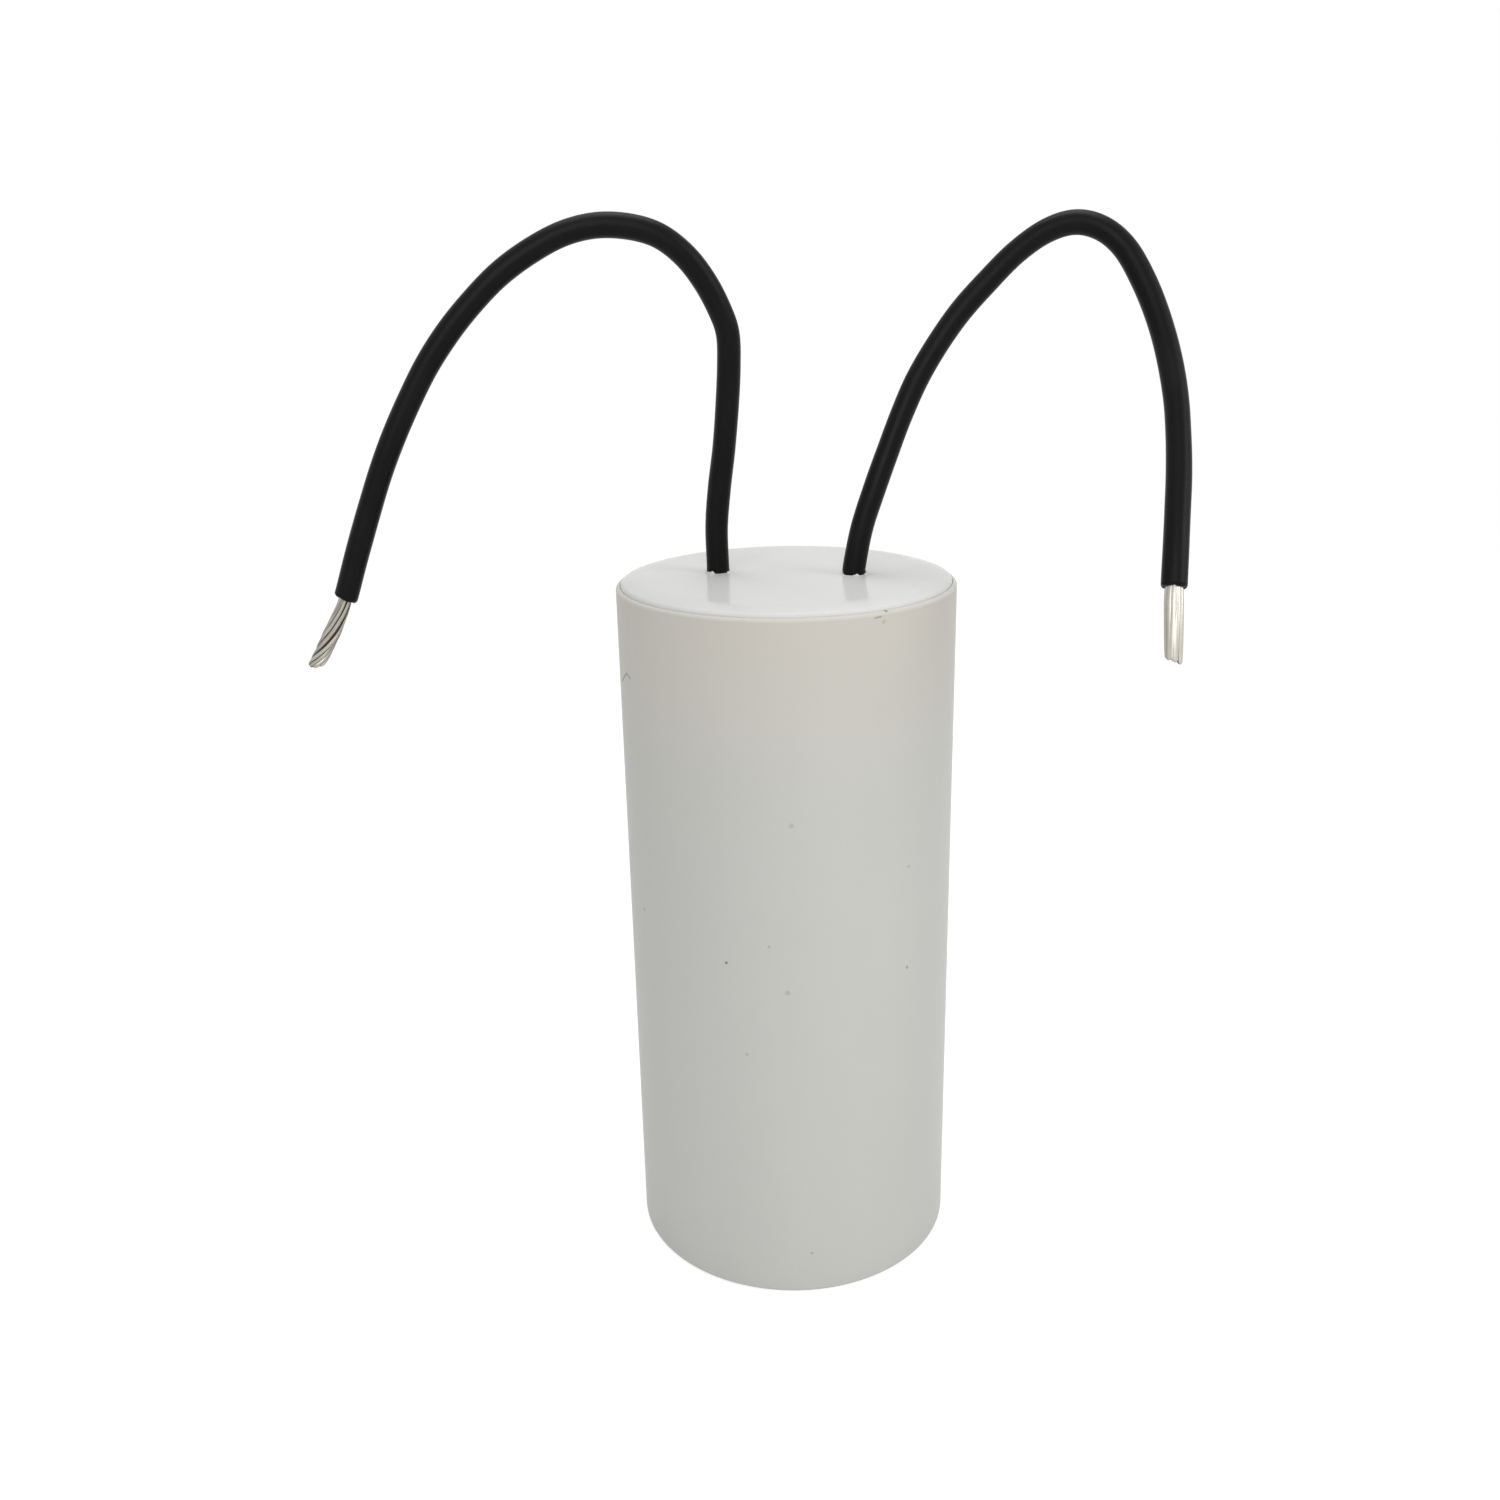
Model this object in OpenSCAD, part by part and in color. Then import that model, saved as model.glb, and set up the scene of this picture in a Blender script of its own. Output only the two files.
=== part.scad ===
// Motor run capacitor: a wound film element potted in a round moulded can, with two stranded leads.
// Millimetres, +Z up. The origin is at the centre of the can's foot, and the lead holes lie on X.

/* [Case] */
// Outside diameter of the can
case_d = 45; // [43:0.5:60]
// Height of the can, from its foot to the top of its lip
case_h = 95.8; // [90:0.2:120]
// Thickness of the can's wall at its mouth
wall_t = 2; // [1.6:0.1:2.6]
// Height of the inside of the floor above the foot
floor_t = 2.5; // [2:0.1:4]
// How much nearer the axis the bore's wall is at the floor than at the mouth
draft = 0.3; // [0:0.05:0.5]
// Rounding where the floor meets the bore
floor_fillet = 1; // [0.4:0.1:1.5]
// Rounding of the lip's outer edge
lip_round = 0.5; // [0.3:0.1:1.2]
// Rounding of the foot's outer edge
foot_round = 0.6; // [0.2:0.1:1.5]
// Thickness of the lip that stands round the cover
lip_t = 0.55; // [0.4:0.05:1.3]
// Depth of the seat that the cover drops into
seat_depth = 2; // [1:0.1:4]
// Width of the ring that the can stands on
foot_ring_w = 4.5; // [2:0.1:8]
// Depth of the recess inside the foot ring
recess_depth = 0.5; // [0.2:0.1:1]
// Diameter of the dimple round the moulding gate
gate_dimple_d = 5; // [3:0.5:8]
// Depth of the gate's dimple below the recess
gate_dimple_depth = 0.4; // [0.2:0.1:0.8]
// Diameter of the gate's broken stub
gate_stub_d = 1.4; // [0.8:0.1:2.5]
// Number of ribs that hold the element off the floor
rib_count = 4; // [3:1:8]
// Thickness of a floor rib
rib_t = 1.2; // [0.8:0.1:2]
// Height of a floor rib under the element
rib_h = 3.5; // [3.2:0.1:5]
// Distance from the axis to a rib's inner end
rib_start = 8; // [6.5:0.5:12]
// Height of a rib's centring lug above the rib
lug_h = 4; // [1:0.5:8]
// Width of the relief at a lug's foot, inwards from the element's edge
rib_relief_w = 1; // [0.5:0.1:2]
// Depth of that relief
rib_relief_depth = 0.3; // [0.1:0.1:1]

/* [End cover] */
// How far the cover stands above the can's lip
cover_proud = 1; // [0.4:0.1:2]
// Thickness of the cover's disc
cover_t = 2.2; // [1.4:0.1:2.8]
// Rounding of the cover's top edge
shoulder_round = 0.7; // [0.2:0.1:1.2]
// Radius on which the cover's top falls away before that rounding
crown_round = 9; // [4:0.5:16]
// Slope that the fall has reached where the rounding starts
crown_slope = 18; // [4:1:30]
// Depth of the skirt below the cover's seat
skirt_h = 5; // [2:0.5:7]
// Thickness of the skirt
skirt_t = 1.5; // [1:0.1:2.5]
// Distance between the two lead holes
lead_pitch = 18.2; // [15:0.1:22]
// Length of the guide collar under each lead hole
collar_h = 4.8; // [1:0.2:6]
// Thickness of a guide collar's wall
collar_t = 1.4; // [0.8:0.1:2]

/* [Element] */
// Resin between the wound film and the can's bore at its mouth
winding_gap = 2.5; // [2:0.1:6]
// Width of the film, which is the roll's length
film_w = 64; // [50:1:68]
// Outside diameter of the tube that the film is wound on
core_d = 10; // [9:0.5:12]
// Inside diameter of that tube
core_bore = 6; // [5:0.2:7]
// Thickness of the metal sprayed on each end of the roll
spray_t = 0.7; // [0.3:0.1:1.2]
// Diameter of a solder joint on the sprayed metal
solder_d = 6; // [5:0.2:7]
// Height of a solder joint
solder_h = 2.6; // [2.2:0.1:2.8]

/* [Potting] */
// Distance from the cover's lowest edge down to the resin
resin_gap = 2; // [0.5:0.5:4]

/* [Leads] */
// Outside diameter of a lead's insulation
lead_d = 3; // [2.4:0.1:3.4]
// Diameter of the stranded conductor inside it
conductor_d = 1.9; // [1.5:0.05:2]
// Length of bare conductor between the upper joint and the insulation
upper_strip = 5; // [3.5:0.5:7]
// Height of the insulation's end above the foot of the winding tube
lower_strip = 8; // [5:0.5:20]
// Radius of the conductor's turn under the element
turn_r = 3.4; // [3.2:0.1:4.5]
// Gap between the conductor's turned tail and the sprayed metal
tail_gap = 0.5; // [0.3:0.05:0.6]

/* [Stripped ends] */
// Number of strands that show round a stripped end
strands = 12; // [8:1:14]
// Depth of the grooves between strands
groove_depth = 0.16; // [0.06:0.02:0.2]
// Full diameter of a stripped end, where its strands have spread
bundle_d = 2.1; // [1.8:0.05:2.6]
// Diameter of the left end where it leaves the insulation
left_neck_d = 1.5; // [1.2:0.05:1.6]
// Length of one turn of the left end's strands
left_lay = 11; // [6:1:40]
// Diameter of the right end where it leaves the insulation
right_neck_d = 1.6; // [1.2:0.05:1.6]
// Length of one turn of the right end's strands
right_lay = 45; // [6:1:90]
// How much further one side of a cut end reaches
cut_slant = 0.7; // [0:0.1:1.2]

/* [Fits] */
// Gap all round between the cover's rim and the can's lip
cover_gap = 0.05; // [0.03:0.01:0.2]
// Gap all round between the cover's skirt and the can's bore
skirt_gap = 0.1; // [0.05:0.05:0.3]
// Gap all round between a lead and its hole
hole_gap = 0.08; // [0.05:0.01:0.3]
// Gap all round between the conductor and its insulation
strip_gap = 0.05; // [0.03:0.01:0.1]
// Gap between the element and the centring lugs
lug_gap = 0.3; // [0.1:0.1:0.8]

/* [Hidden] */
$fn = 96;

case_r = case_d / 2;
lip_r = case_r - lip_t;
seat_z = case_h - seat_depth;
cover_top = case_h + cover_proud;
cover_r = lip_r - cover_gap;
disc_z = cover_top - cover_t;
skirt_z = seat_z - skirt_h;
collar_z = disc_z - collar_h;
hole_x = lead_pitch / 2;
hole_d = lead_d + 2 * hole_gap;

rib_top = floor_t + rib_h;
element_top = rib_top + film_w + 2 * spray_t;
winding_r = case_r - wall_t - winding_gap;
core_r = core_d / 2;
resin_z = min(skirt_z, collar_z) - resin_gap;

lead_r = lead_d / 2;
conductor_r = conductor_d / 2;
sheath_bore_r = conductor_r + strip_gap;
tail_z = rib_top - tail_gap - conductor_r;
lower_joint_x = core_r + solder_d / 2 + 0.5;
cord_sides = 8;
bend_steps = 6;
bury = 1;

// The leads' runs above the cover, each from the centre of its hole at the cover's top.
left_run = [
    [0, 0, 1], [0, -0.2, 6], [0.55, -0.55, 11], [1.45, -1.25, 16.45], [2.15, -2.05, 21.85],
    [2.65, -2.95, 26.75], [2.75, -3.75, 30.65], [1.9, -4.45, 33.6], [0.3, -5.25, 36.9],
    [-1.85, -6.15, 39.85], [-4.75, -6.95, 42.15], [-8.2, -7.8, 43.25], [-12.1, -8.8, 43.45],
    [-16.05, -9.7, 42.55], [-20, -10.6, 40.6], [-23.65, -11.5, 38.1], [-26.9, -12.35, 35.05],
    [-29.85, -13.15, 31.75], [-32.65, -13.85, 27.95], [-35.05, -14.45, 23.9],
    [-37.35, -15.05, 19.5], [-39.35, -15.45, 15.2], [-41.35, -15.85, 10.2], [-43.4, -16.25, 4.75],
    [-45.4, -16.55, -0.75]];
left_bare = [
    [-45.4, -16.55, -0.75], [-46.85, -16.65, -3.7], [-48.6, -16.8, -6.8], [-50.5, -17, -10]];
right_run = [
    [0, 0, 1], [0.95, 0.3, 6], [2.5, 1, 11], [4, 2.1, 15.4], [5.6, 3.4, 19.85], [7.5, 4.7, 24.3],
    [9.85, 5.9, 28.4], [12.7, 6.75, 32.45], [15.95, 7.35, 36.05], [19.4, 7.45, 39.45],
    [23, 7.15, 41.9], [26.45, 6.65, 42.85], [29.65, 5.8, 42.05], [32.4, 4.8, 39.8],
    [34.65, 3.2, 36.15], [36.5, 1.2, 31.9], [37.85, -1.3, 27.4], [38.7, -4.15, 22.75],
    [39, -6.95, 18.45], [39.05, -9.65, 14.35], [38.9, -12.15, 10.45], [38.75, -14.35, 6.8],
    [38.6, -16.65, 2.25]];
right_bare = [
    [38.6, -16.65, 2.25], [38.65, -17.65, -0.3], [38.75, -18.55, -3.3], [38.9, -19.15, -6.25]];

// Radius of the can's bore at a height, drafted from the seat down to the floor
function bore_r(z) = case_r - wall_t - draft * (seat_z - z) / (seat_z - floor_t);

// Points on an arc in the profile plane
function arc(centre, r, from, to, steps = 6) =
    [for (i = [0:steps]) let (a = from + (to - from) * i / steps) centre + r * [cos(a), sin(a)]];

// The cavity's outline, from the middle of the floor up the bore to a height
function cavity(top) = concat(
    [[0, floor_t]],
    arc([bore_r(floor_t + floor_fillet) - floor_fillet, floor_t + floor_fillet], floor_fillet, -90, 0),
    [[bore_r(top), top]]);

// A list without its first entry
function rest(list) = [for (i = [1:len(list) - 1]) list[i]];

function backwards(list) = [for (i = [len(list) - 1:-1:0]) list[i]];

// ---- The can and its cover ----

module case() {
    edge = min(lip_round, lip_t - 0.05);
    dimple_z = recess_depth + gate_dimple_depth;
    recess_r = case_r - foot_ring_w;
    stub_r = gate_stub_d / 2;
    outline = concat(
        [[0, recess_depth], [stub_r, recess_depth], [stub_r, dimple_z],
            [gate_dimple_d / 2, dimple_z], [gate_dimple_d / 2, recess_depth],
            [recess_r, recess_depth], [recess_r + recess_depth, 0]],
        arc([case_r - foot_round, foot_round], foot_round, -90, 0),
        arc([case_r - edge, case_h - edge], edge, 0, 90),
        [[lip_r, case_h], [lip_r, seat_z]],
        backwards(cavity(seat_z)));
    color([0.79, 0.78, 0.75]) {
        rotate_extrude() polygon(outline);
        floor_ribs();
    }
}

// Ribs that the element stands on. Each has a lug at its outer end that centres the element, with a
// relief at the lug's foot. As a tool that cuts the resin, they reach up into the element's place.
module floor_ribs(reach = 0) {
    root_z = floor_t - 0.4;
    buried_r = bore_r(floor_t) + 0.6;
    lug_r = winding_r + lug_gap;
    lug_top = rib_top + lug_h;
    seat_r = winding_r - rib_relief_w;
    for (i = [0:rib_count - 1])
        rotate([90, 0, 180 * (2 * i + 1) / rib_count])
            linear_extrude(rib_t, center = true)
                polygon([[rib_start, root_z], [buried_r, root_z], [buried_r, lug_top],
                    [lug_r, lug_top], [lug_r, rib_top - rib_relief_depth],
                    [seat_r, rib_top - rib_relief_depth], [seat_r, rib_top + reach],
                    [rib_start, rib_top + reach]]);
}

module end_cover() {
    skirt_r = bore_r(skirt_z) - skirt_gap;
    edge = min(shoulder_round, cover_t - 0.2);
    crown_r = cover_r - edge * (1 - sin(crown_slope)) - crown_round * sin(crown_slope);
    edge_z = cover_top - crown_round * (1 - cos(crown_slope)) - edge * cos(crown_slope);
    outline = concat(
        [[0, disc_z], [skirt_r - skirt_t, disc_z], [skirt_r - skirt_t, skirt_z], [skirt_r, skirt_z],
            [skirt_r, seat_z], [cover_r, seat_z]],
        arc([cover_r - edge, edge_z], edge, 0, 90 - crown_slope),
        rest(arc([crown_r, cover_top - crown_round], crown_round, 90 - crown_slope, 90)),
        [[0, cover_top]]);
    color([0.83, 0.83, 0.82])
        difference() {
            union() {
                rotate_extrude() polygon(outline);
                at_holes(collar_z) cylinder(d = hole_d + 2 * collar_t, h = disc_z - collar_z + 0.5);
            }
            at_holes(collar_z - 1) cylinder(d = hole_d, h = cover_top - collar_z + 2);
        }
}

// Puts its children on the axis of each lead hole, at a height
module at_holes(z) {
    for (side = [-1, 1]) translate([side * hole_x, 0, z]) children();
}

// ---- The wound element ----

// A round sleeve standing on a height
module sleeve(outer_r, inner_r, z, h) {
    translate([0, 0, z])
        difference() {
            cylinder(r = outer_r, h = h);
            translate([0, 0, -1]) cylinder(r = inner_r, h = h + 2);
        }
}

module film_winding() {
    color([0.80, 0.81, 0.83]) sleeve(winding_r, core_r, rib_top + spray_t, film_w);
}

module winding_core() {
    color([0.90, 0.89, 0.85]) sleeve(core_r, core_bore / 2, rib_top, element_top - rib_top);
}

module top_end_spray() {
    color([0.60, 0.61, 0.63]) sleeve(winding_r, core_r, element_top - spray_t, spray_t);
}

module bottom_end_spray() {
    color([0.60, 0.61, 0.63]) sleeve(winding_r, core_r, rib_top, spray_t);
}

// A cap of solder standing on the plane z = 0
module solder_cap() {
    base_r = solder_d / 2;
    ball_r = (base_r * base_r + solder_h * solder_h) / (2 * solder_h);
    intersection() {
        translate([0, 0, solder_h - ball_r]) sphere(ball_r);
        cylinder(r = base_r + 1, h = solder_h + 1);
    }
}

module upper_cap() {
    translate([-hole_x, 0, element_top]) solder_cap();
}

module lower_cap() {
    translate([lower_joint_x, 0, rib_top]) mirror([0, 0, 1]) solder_cap();
}

module top_solder_joint() {
    color([0.74, 0.75, 0.77])
        difference() {
            upper_cap();
            solid_sweep(rings(tail_path(left_tail, left_buried), conductor_r));
        }
}

module bottom_solder_joint() {
    color([0.74, 0.75, 0.77])
        difference() {
            lower_cap();
            solid_sweep(rings(tail_path(right_tail, right_buried), conductor_r));
        }
}

// The resin fills the can round everything in it, up to just under the cover
module potting_resin() {
    color([0.62, 0.52, 0.34])
        difference() {
            rotate_extrude() polygon(concat(cavity(resin_z), [[0, resin_z]]));
            floor_ribs(reach = spray_t / 2);
            sleeve(winding_r, core_bore / 2, rib_top, element_top - rib_top);
            upper_cap();
            lower_cap();
            solid_sweep(rings(left_buried, lead_r));
            solid_sweep(rings(right_buried, lead_r));
            solid_sweep(rings(tail_path(left_tail, left_buried), conductor_r));
            solid_sweep(rings(tail_path(right_tail, right_buried), conductor_r));
        }
}

// ---- The leads' routes ----

function moved(list, by) = [for (p = list) p + by];

left_exit = [-hole_x, 0, cover_top];
right_exit = [hole_x, 0, cover_top];
collar_end = collar_z - 0.5;

// The left conductor stands on the upper spray, and its insulation starts above the joint.
left_tail = [[-hole_x, 0, element_top]];
left_buried = [[-hole_x, 0, element_top + upper_strip], [-hole_x, 0, collar_end],
    [-hole_x, 0, cover_top + 1]];

// The right conductor lies under the element, turns up the tube's bore and swings out to its hole.
bend_foot = element_top + 1;
right_tail = concat(
    [[lower_joint_x + 1, 0, tail_z]],
    [for (a = [0:30:90]) [turn_r * (1 - sin(a)), 0, tail_z + turn_r * (1 - cos(a))]]);
right_buried = concat(
    [[0, 0, rib_top + lower_strip]],
    [for (i = [0:bend_steps]) let (t = i / bend_steps)
        [hole_x * (1 - cos(180 * t)) / 2, 0, bend_foot + (collar_end - bend_foot) * t]],
    [[hole_x, 0, cover_top + 1]]);

// A conductor's bare tail, and a little of its way into the insulation
function tail_path(tail, buried) = concat(tail, [buried[0], buried[0] + [0, 0, 1]]);

// The first point of each run is the last buried one
function free_part(run, exit) = moved(rest(run), exit);

left_route = concat(left_buried, free_part(left_run, left_exit));
right_route = concat(right_buried, free_part(right_run, right_exit));

// ---- Sweeps ----

function unit(v) = v / norm(v);

// Direction of travel at a point, halfway between the stretches that meet there
function heading(path, i) = unit(
    (i > 0 ? unit(path[i] - path[i - 1]) : [0, 0, 0])
    + (i < len(path) - 1 ? unit(path[i + 1] - path[i]) : [0, 0, 0]));

function square_to(v, along) = unit(v - (v * along) * along);

// One side vector at each point, carried along the path without turning about it
function carried(path) = [
    for (i = 0, s = square_to([0, 1, 0], heading(path, 0));
        i < len(path);
        i = i + 1, s = i < len(path) ? square_to(s, heading(path, i)) : s) s];

// Round rings of cord_sides points at every point of a path
function rings(path, r) = let (sides = carried(path)) [
    for (i = [0:len(path) - 1]) let (s = sides[i], t = cross(heading(path, i), s)) [
        for (k = [0:cord_sides - 1]) let (a = 360 * k / cord_sides)
            path[i] + r * (cos(a) * s + sin(a) * t)]];

function joined(lists) = [for (list = lists) for (v = list) v];

// Triangles of the skin through a stack of rings, facing out or, for a bore, in
function skin(count, n, start = 0, out = true) = [
    for (i = [0:count - 2], k = [0:n - 1])
        let (a = start + i * n + k, b = start + i * n + (k + 1) % n)
            each out ? [[a, b + n, b], [a, a + n, b + n]] : [[a, b, b + n], [a, b + n, a + n]]];

// Mean of a ring's points
function middle(ring, i = 0) = i == len(ring) ? [0, 0, 0] : ring[i] / len(ring) + middle(ring, i + 1);

// A closed solid through a stack of rings, with a fan of triangles over each end
module solid_sweep(stack) {
    n = len(stack[0]);
    count = len(stack);
    last = (count - 1) * n;
    near = count * n;
    polyhedron(
        points = concat(joined(stack), [middle(stack[0]), middle(stack[count - 1])]),
        faces = concat(
            skin(count, n),
            [for (k = [0:n - 1]) [near, k, (k + 1) % n]],
            [for (k = [0:n - 1]) [near + 1, last + (k + 1) % n, last + k]]));
}

// A tube between an outer and an inner stack of rings
module hollow_sweep(outer, inner) {
    n = len(outer[0]);
    count = len(outer);
    inside = count * n;
    last = (count - 1) * n;
    polyhedron(
        points = concat(joined(outer), joined(inner)),
        faces = concat(
            skin(count, n),
            skin(count, n, inside, false),
            [for (k = [0:n - 1]) let (m = (k + 1) % n) each
                [[k, m, inside + m], [k, inside + m, inside + k]]],
            [for (k = [0:n - 1]) let (a = last + k, b = last + (k + 1) % n) each
                [[a, inside + b, b], [a, inside + a, inside + b]]]));
}

// ---- The leads ----

module insulation(route) {
    color([0.06, 0.06, 0.065]) hollow_sweep(rings(route, lead_r), rings(route, sheath_bore_r));
}

// Rings of a fluted bundle that widens from its neck, its strands laid one turn in each lay
function bundle_rings(path, neck_d, lay) = let (
    sides = carried(path),
    n = 4 * strands,
    run = [for (i = [0:len(path) - 1]) length_to(path, i)],
    spread_len = 4) [
    for (i = [0:len(path) - 1])
        let (
            h = heading(path, i),
            s = sides[i],
            t = cross(h, s),
            w = min(1, max(0, run[i] - bury) / spread_len),
            r = (neck_d + (bundle_d - neck_d) * w * (2 - w)) / 2,
            slant = i == len(path) - 1 ? cut_slant : 0)
        [for (k = [0:n - 1])
            let (
                a = 360 * k / n,
                flute = groove_depth * (1 - abs(cos(45 * k))),
                turn = a + 360 * run[i] / lay)
            path[i] + (r - flute) * (cos(turn) * s + sin(turn) * t) + slant * cos(turn) * h / 2]];

function length_to(path, i) = i == 0 ? 0 : length_to(path, i - 1) + norm(path[i] - path[i - 1]);

// A path cut into short equal steps, each stretch on its own
function in_steps(path, steps) = concat(
    [for (i = [0:len(path) - 2], j = [0:steps - 1]) path[i] + (path[i + 1] - path[i]) * j / steps],
    [path[len(path) - 1]]);

// A conductor along its route, with a stripped end whose root is buried in it
module conductor(route, bare, neck_d, lay) {
    root = bare[0] - bury * unit(route[len(route) - 1] - route[len(route) - 2]);
    color([0.76, 0.73, 0.68]) {
        solid_sweep(rings(route, conductor_r));
        solid_sweep(bundle_rings(concat([root], in_steps(bare, 3)), neck_d, lay));
    }
}

module left_lead_insulation() {
    insulation(left_route);
}

module left_lead_conductor() {
    conductor(concat(left_tail, left_route), moved(left_bare, left_exit), left_neck_d, left_lay);
}

module right_lead_insulation() {
    insulation(right_route);
}

module right_lead_conductor() {
    conductor(concat(right_tail, right_route), moved(right_bare, right_exit), right_neck_d, right_lay);
}

case();
end_cover();
potting_resin();
film_winding();
winding_core();
top_end_spray();
bottom_end_spray();
top_solder_joint();
bottom_solder_joint();
left_lead_insulation();
left_lead_conductor();
right_lead_insulation();
right_lead_conductor();
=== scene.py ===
"""Dresses a packed motor run capacitor for rendering.

The can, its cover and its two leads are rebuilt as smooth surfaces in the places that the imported
solids hold, the pieces sealed inside keep their solids and get their own finishes, and a plain
studio is set up round them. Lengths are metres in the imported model's frame: +Z up, the can's foot
at z = 0 and the two lead holes on X.
"""

import bpy
import numpy as np
from bpy.props import FloatProperty, FloatVectorProperty, IntProperty, PointerProperty
from mathutils import Matrix, Vector


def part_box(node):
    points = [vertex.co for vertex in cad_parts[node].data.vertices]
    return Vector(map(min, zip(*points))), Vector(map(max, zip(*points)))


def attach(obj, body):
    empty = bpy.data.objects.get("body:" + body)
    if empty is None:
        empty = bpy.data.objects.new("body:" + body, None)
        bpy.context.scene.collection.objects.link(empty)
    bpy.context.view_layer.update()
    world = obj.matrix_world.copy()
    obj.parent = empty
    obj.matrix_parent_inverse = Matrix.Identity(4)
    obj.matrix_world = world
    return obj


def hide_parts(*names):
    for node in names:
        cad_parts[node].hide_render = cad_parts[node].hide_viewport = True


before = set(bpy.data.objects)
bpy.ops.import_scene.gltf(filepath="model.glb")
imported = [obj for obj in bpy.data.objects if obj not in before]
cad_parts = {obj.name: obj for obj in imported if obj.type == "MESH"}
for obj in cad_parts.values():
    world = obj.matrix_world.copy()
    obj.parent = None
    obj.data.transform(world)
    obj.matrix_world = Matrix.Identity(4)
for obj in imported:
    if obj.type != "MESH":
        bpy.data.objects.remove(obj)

bl_info = {
    "name": "Motor Run Capacitor",
    "version": (1, 0, 0),
    "blender": (4, 5, 0),
    "location": "View3D > Sidebar > Capacitor",
    "description": "Builds the finished surfaces, materials and studio of a motor run capacitor",
    "category": "Object",
}

MM = 0.001
BODY = "root"
# The highest corners of the boxes of the can and the cover.
CASE_HIGH, COVER_HIGH = (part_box(node)[1] for node in ("case", "end_cover"))
# Points of a surface this close together are one point.
JOIN = 0.0005 * MM

# Distance of a lead hole from the axis, in millimetres.
HOLE_X = 9.1
# The leads' runs in millimetres from the centre of each hole at the cover's top.
LEFT_RUN = [
    [0, 0, 1], [0, -0.2, 6], [0.55, -0.55, 11], [1.45, -1.25, 16.45], [2.15, -2.05, 21.85],
    [2.65, -2.95, 26.75], [2.75, -3.75, 30.65], [1.9, -4.45, 33.6], [0.3, -5.25, 36.9],
    [-1.85, -6.15, 39.85], [-4.75, -6.95, 42.15], [-8.2, -7.8, 43.25], [-12.1, -8.8, 43.45],
    [-16.05, -9.7, 42.55], [-20, -10.6, 40.6], [-23.65, -11.5, 38.1], [-26.9, -12.35, 35.05],
    [-29.85, -13.15, 31.75], [-32.65, -13.85, 27.95], [-35.05, -14.45, 23.9],
    [-37.35, -15.05, 19.5], [-39.35, -15.45, 15.2], [-41.35, -15.85, 10.2], [-43.4, -16.25, 4.75],
    [-45.4, -16.55, -0.75],
]  # fmt: skip
LEFT_BARE = [[-46.85, -16.65, -3.7], [-48.6, -16.8, -6.8], [-50.5, -17, -10]]
RIGHT_RUN = [
    [0, 0, 1], [0.95, 0.3, 6], [2.5, 1, 11], [4, 2.1, 15.4], [5.6, 3.4, 19.85], [7.5, 4.7, 24.3],
    [9.85, 5.9, 28.4], [12.7, 6.75, 32.45], [15.95, 7.35, 36.05], [19.4, 7.45, 39.45],
    [23, 7.15, 41.9], [26.45, 6.65, 42.85], [29.65, 5.8, 42.05], [32.4, 4.8, 39.8],
    [34.65, 3.2, 36.15], [36.5, 1.2, 31.9], [37.85, -1.3, 27.4], [38.7, -4.15, 22.75],
    [39, -6.95, 18.45], [39.05, -9.65, 14.35], [38.9, -12.15, 10.45], [38.75, -14.35, 6.8],
    [38.6, -16.65, 2.25],
]  # fmt: skip
RIGHT_BARE = [[38.65, -17.65, -0.3], [38.75, -18.55, -3.3], [38.9, -19.15, -6.25]]
# Below the cover, in millimetres: heights on the way into a hole, the left conductor's heights below them,
# the height and the bend of the right one's run under the roll, its heights up the roll's tube, and where
# its swing out to the hole starts and how far that rises.
HOLE_Z = (93.0, 96.8)
LEFT_Z = (71.4, 76.4, 82.8, 89.3)
UNDER_Z, UNDER_X, BEND_R = 4.55, (9.5, 6.5), 3.4
TUBE_Z = (14, 30, 45, 60, 70)
SWING_Z, SWING_RISE = 72.4, 16.9


# ---- What a user would change ----


def metres(name, description, default):
    """A length."""
    return FloatProperty(name=name, description=description, default=default, unit="LENGTH")


def watts(name, description, default):
    """A lamp's power."""
    return FloatProperty(name=name, description=description, default=default, unit="POWER")


def tint(name, description, default):
    """A colour, in linear light."""
    return FloatVectorProperty(
        name=name, description=description, default=default, subtype="COLOR"
    )


class CanSettings(bpy.types.PropertyGroup):
    """Sizes and colours of the moulded can."""

    radius: metres("Radius", "Outside radius of the can", round(CASE_HIGH.x, 4))
    height: metres("Height", "Height of the can's lip", CASE_HIGH.z)
    wall: metres("Wall", "Thickness of the wall at the mouth", 2 * MM)
    floor: metres("Floor", "Height of the floor's inside", 2.5 * MM)
    steps: IntProperty(name="Steps", description="Faces round the can and the cover", default=256, min=32)
    # Painted light: the warm white near the cover and the cooler white near the foot stand in for how the
    # light falls on the can.
    upper_light_tint_colour: tint("Upper colour", "Warm white near the cover", (0.580, 0.557, 0.507))
    lower_light_tint_colour: tint("Lower colour", "Cooler white near the foot", (0.552, 0.558, 0.526))
    mark_colour: tint("Mark colour", "Grime in specks and scratches", (0.16, 0.15, 0.125))


class CoverSettings(bpy.types.PropertyGroup):
    """Sizes and colour of the end cover."""

    top: metres("Top", "Height of the cover's face", COVER_HIGH.z)
    radius: metres("Radius", "Radius of the cover's rim", 21.9 * MM)
    thickness: metres("Thickness", "Thickness of the disc", 2.2 * MM)
    shoulder: metres("Shoulder", "Rounding of the top edge", 0.7 * MM)
    crown: metres("Crown", "Radius on which the face falls away before that rounding", 9 * MM)
    slope: FloatProperty(
        name="Slope", description="Slope of that fall where the rounding starts", default=np.radians(18),
        unit="ROTATION"
    )
    hole_place: metres("Hole place", "Distance of a lead hole from the axis", HOLE_X * MM)
    hole_radius: metres("Hole radius", "Radius of a lead hole", 1.58 * MM)
    colour: tint("Colour", "White of the cover", (0.64, 0.64, 0.626))


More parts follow.
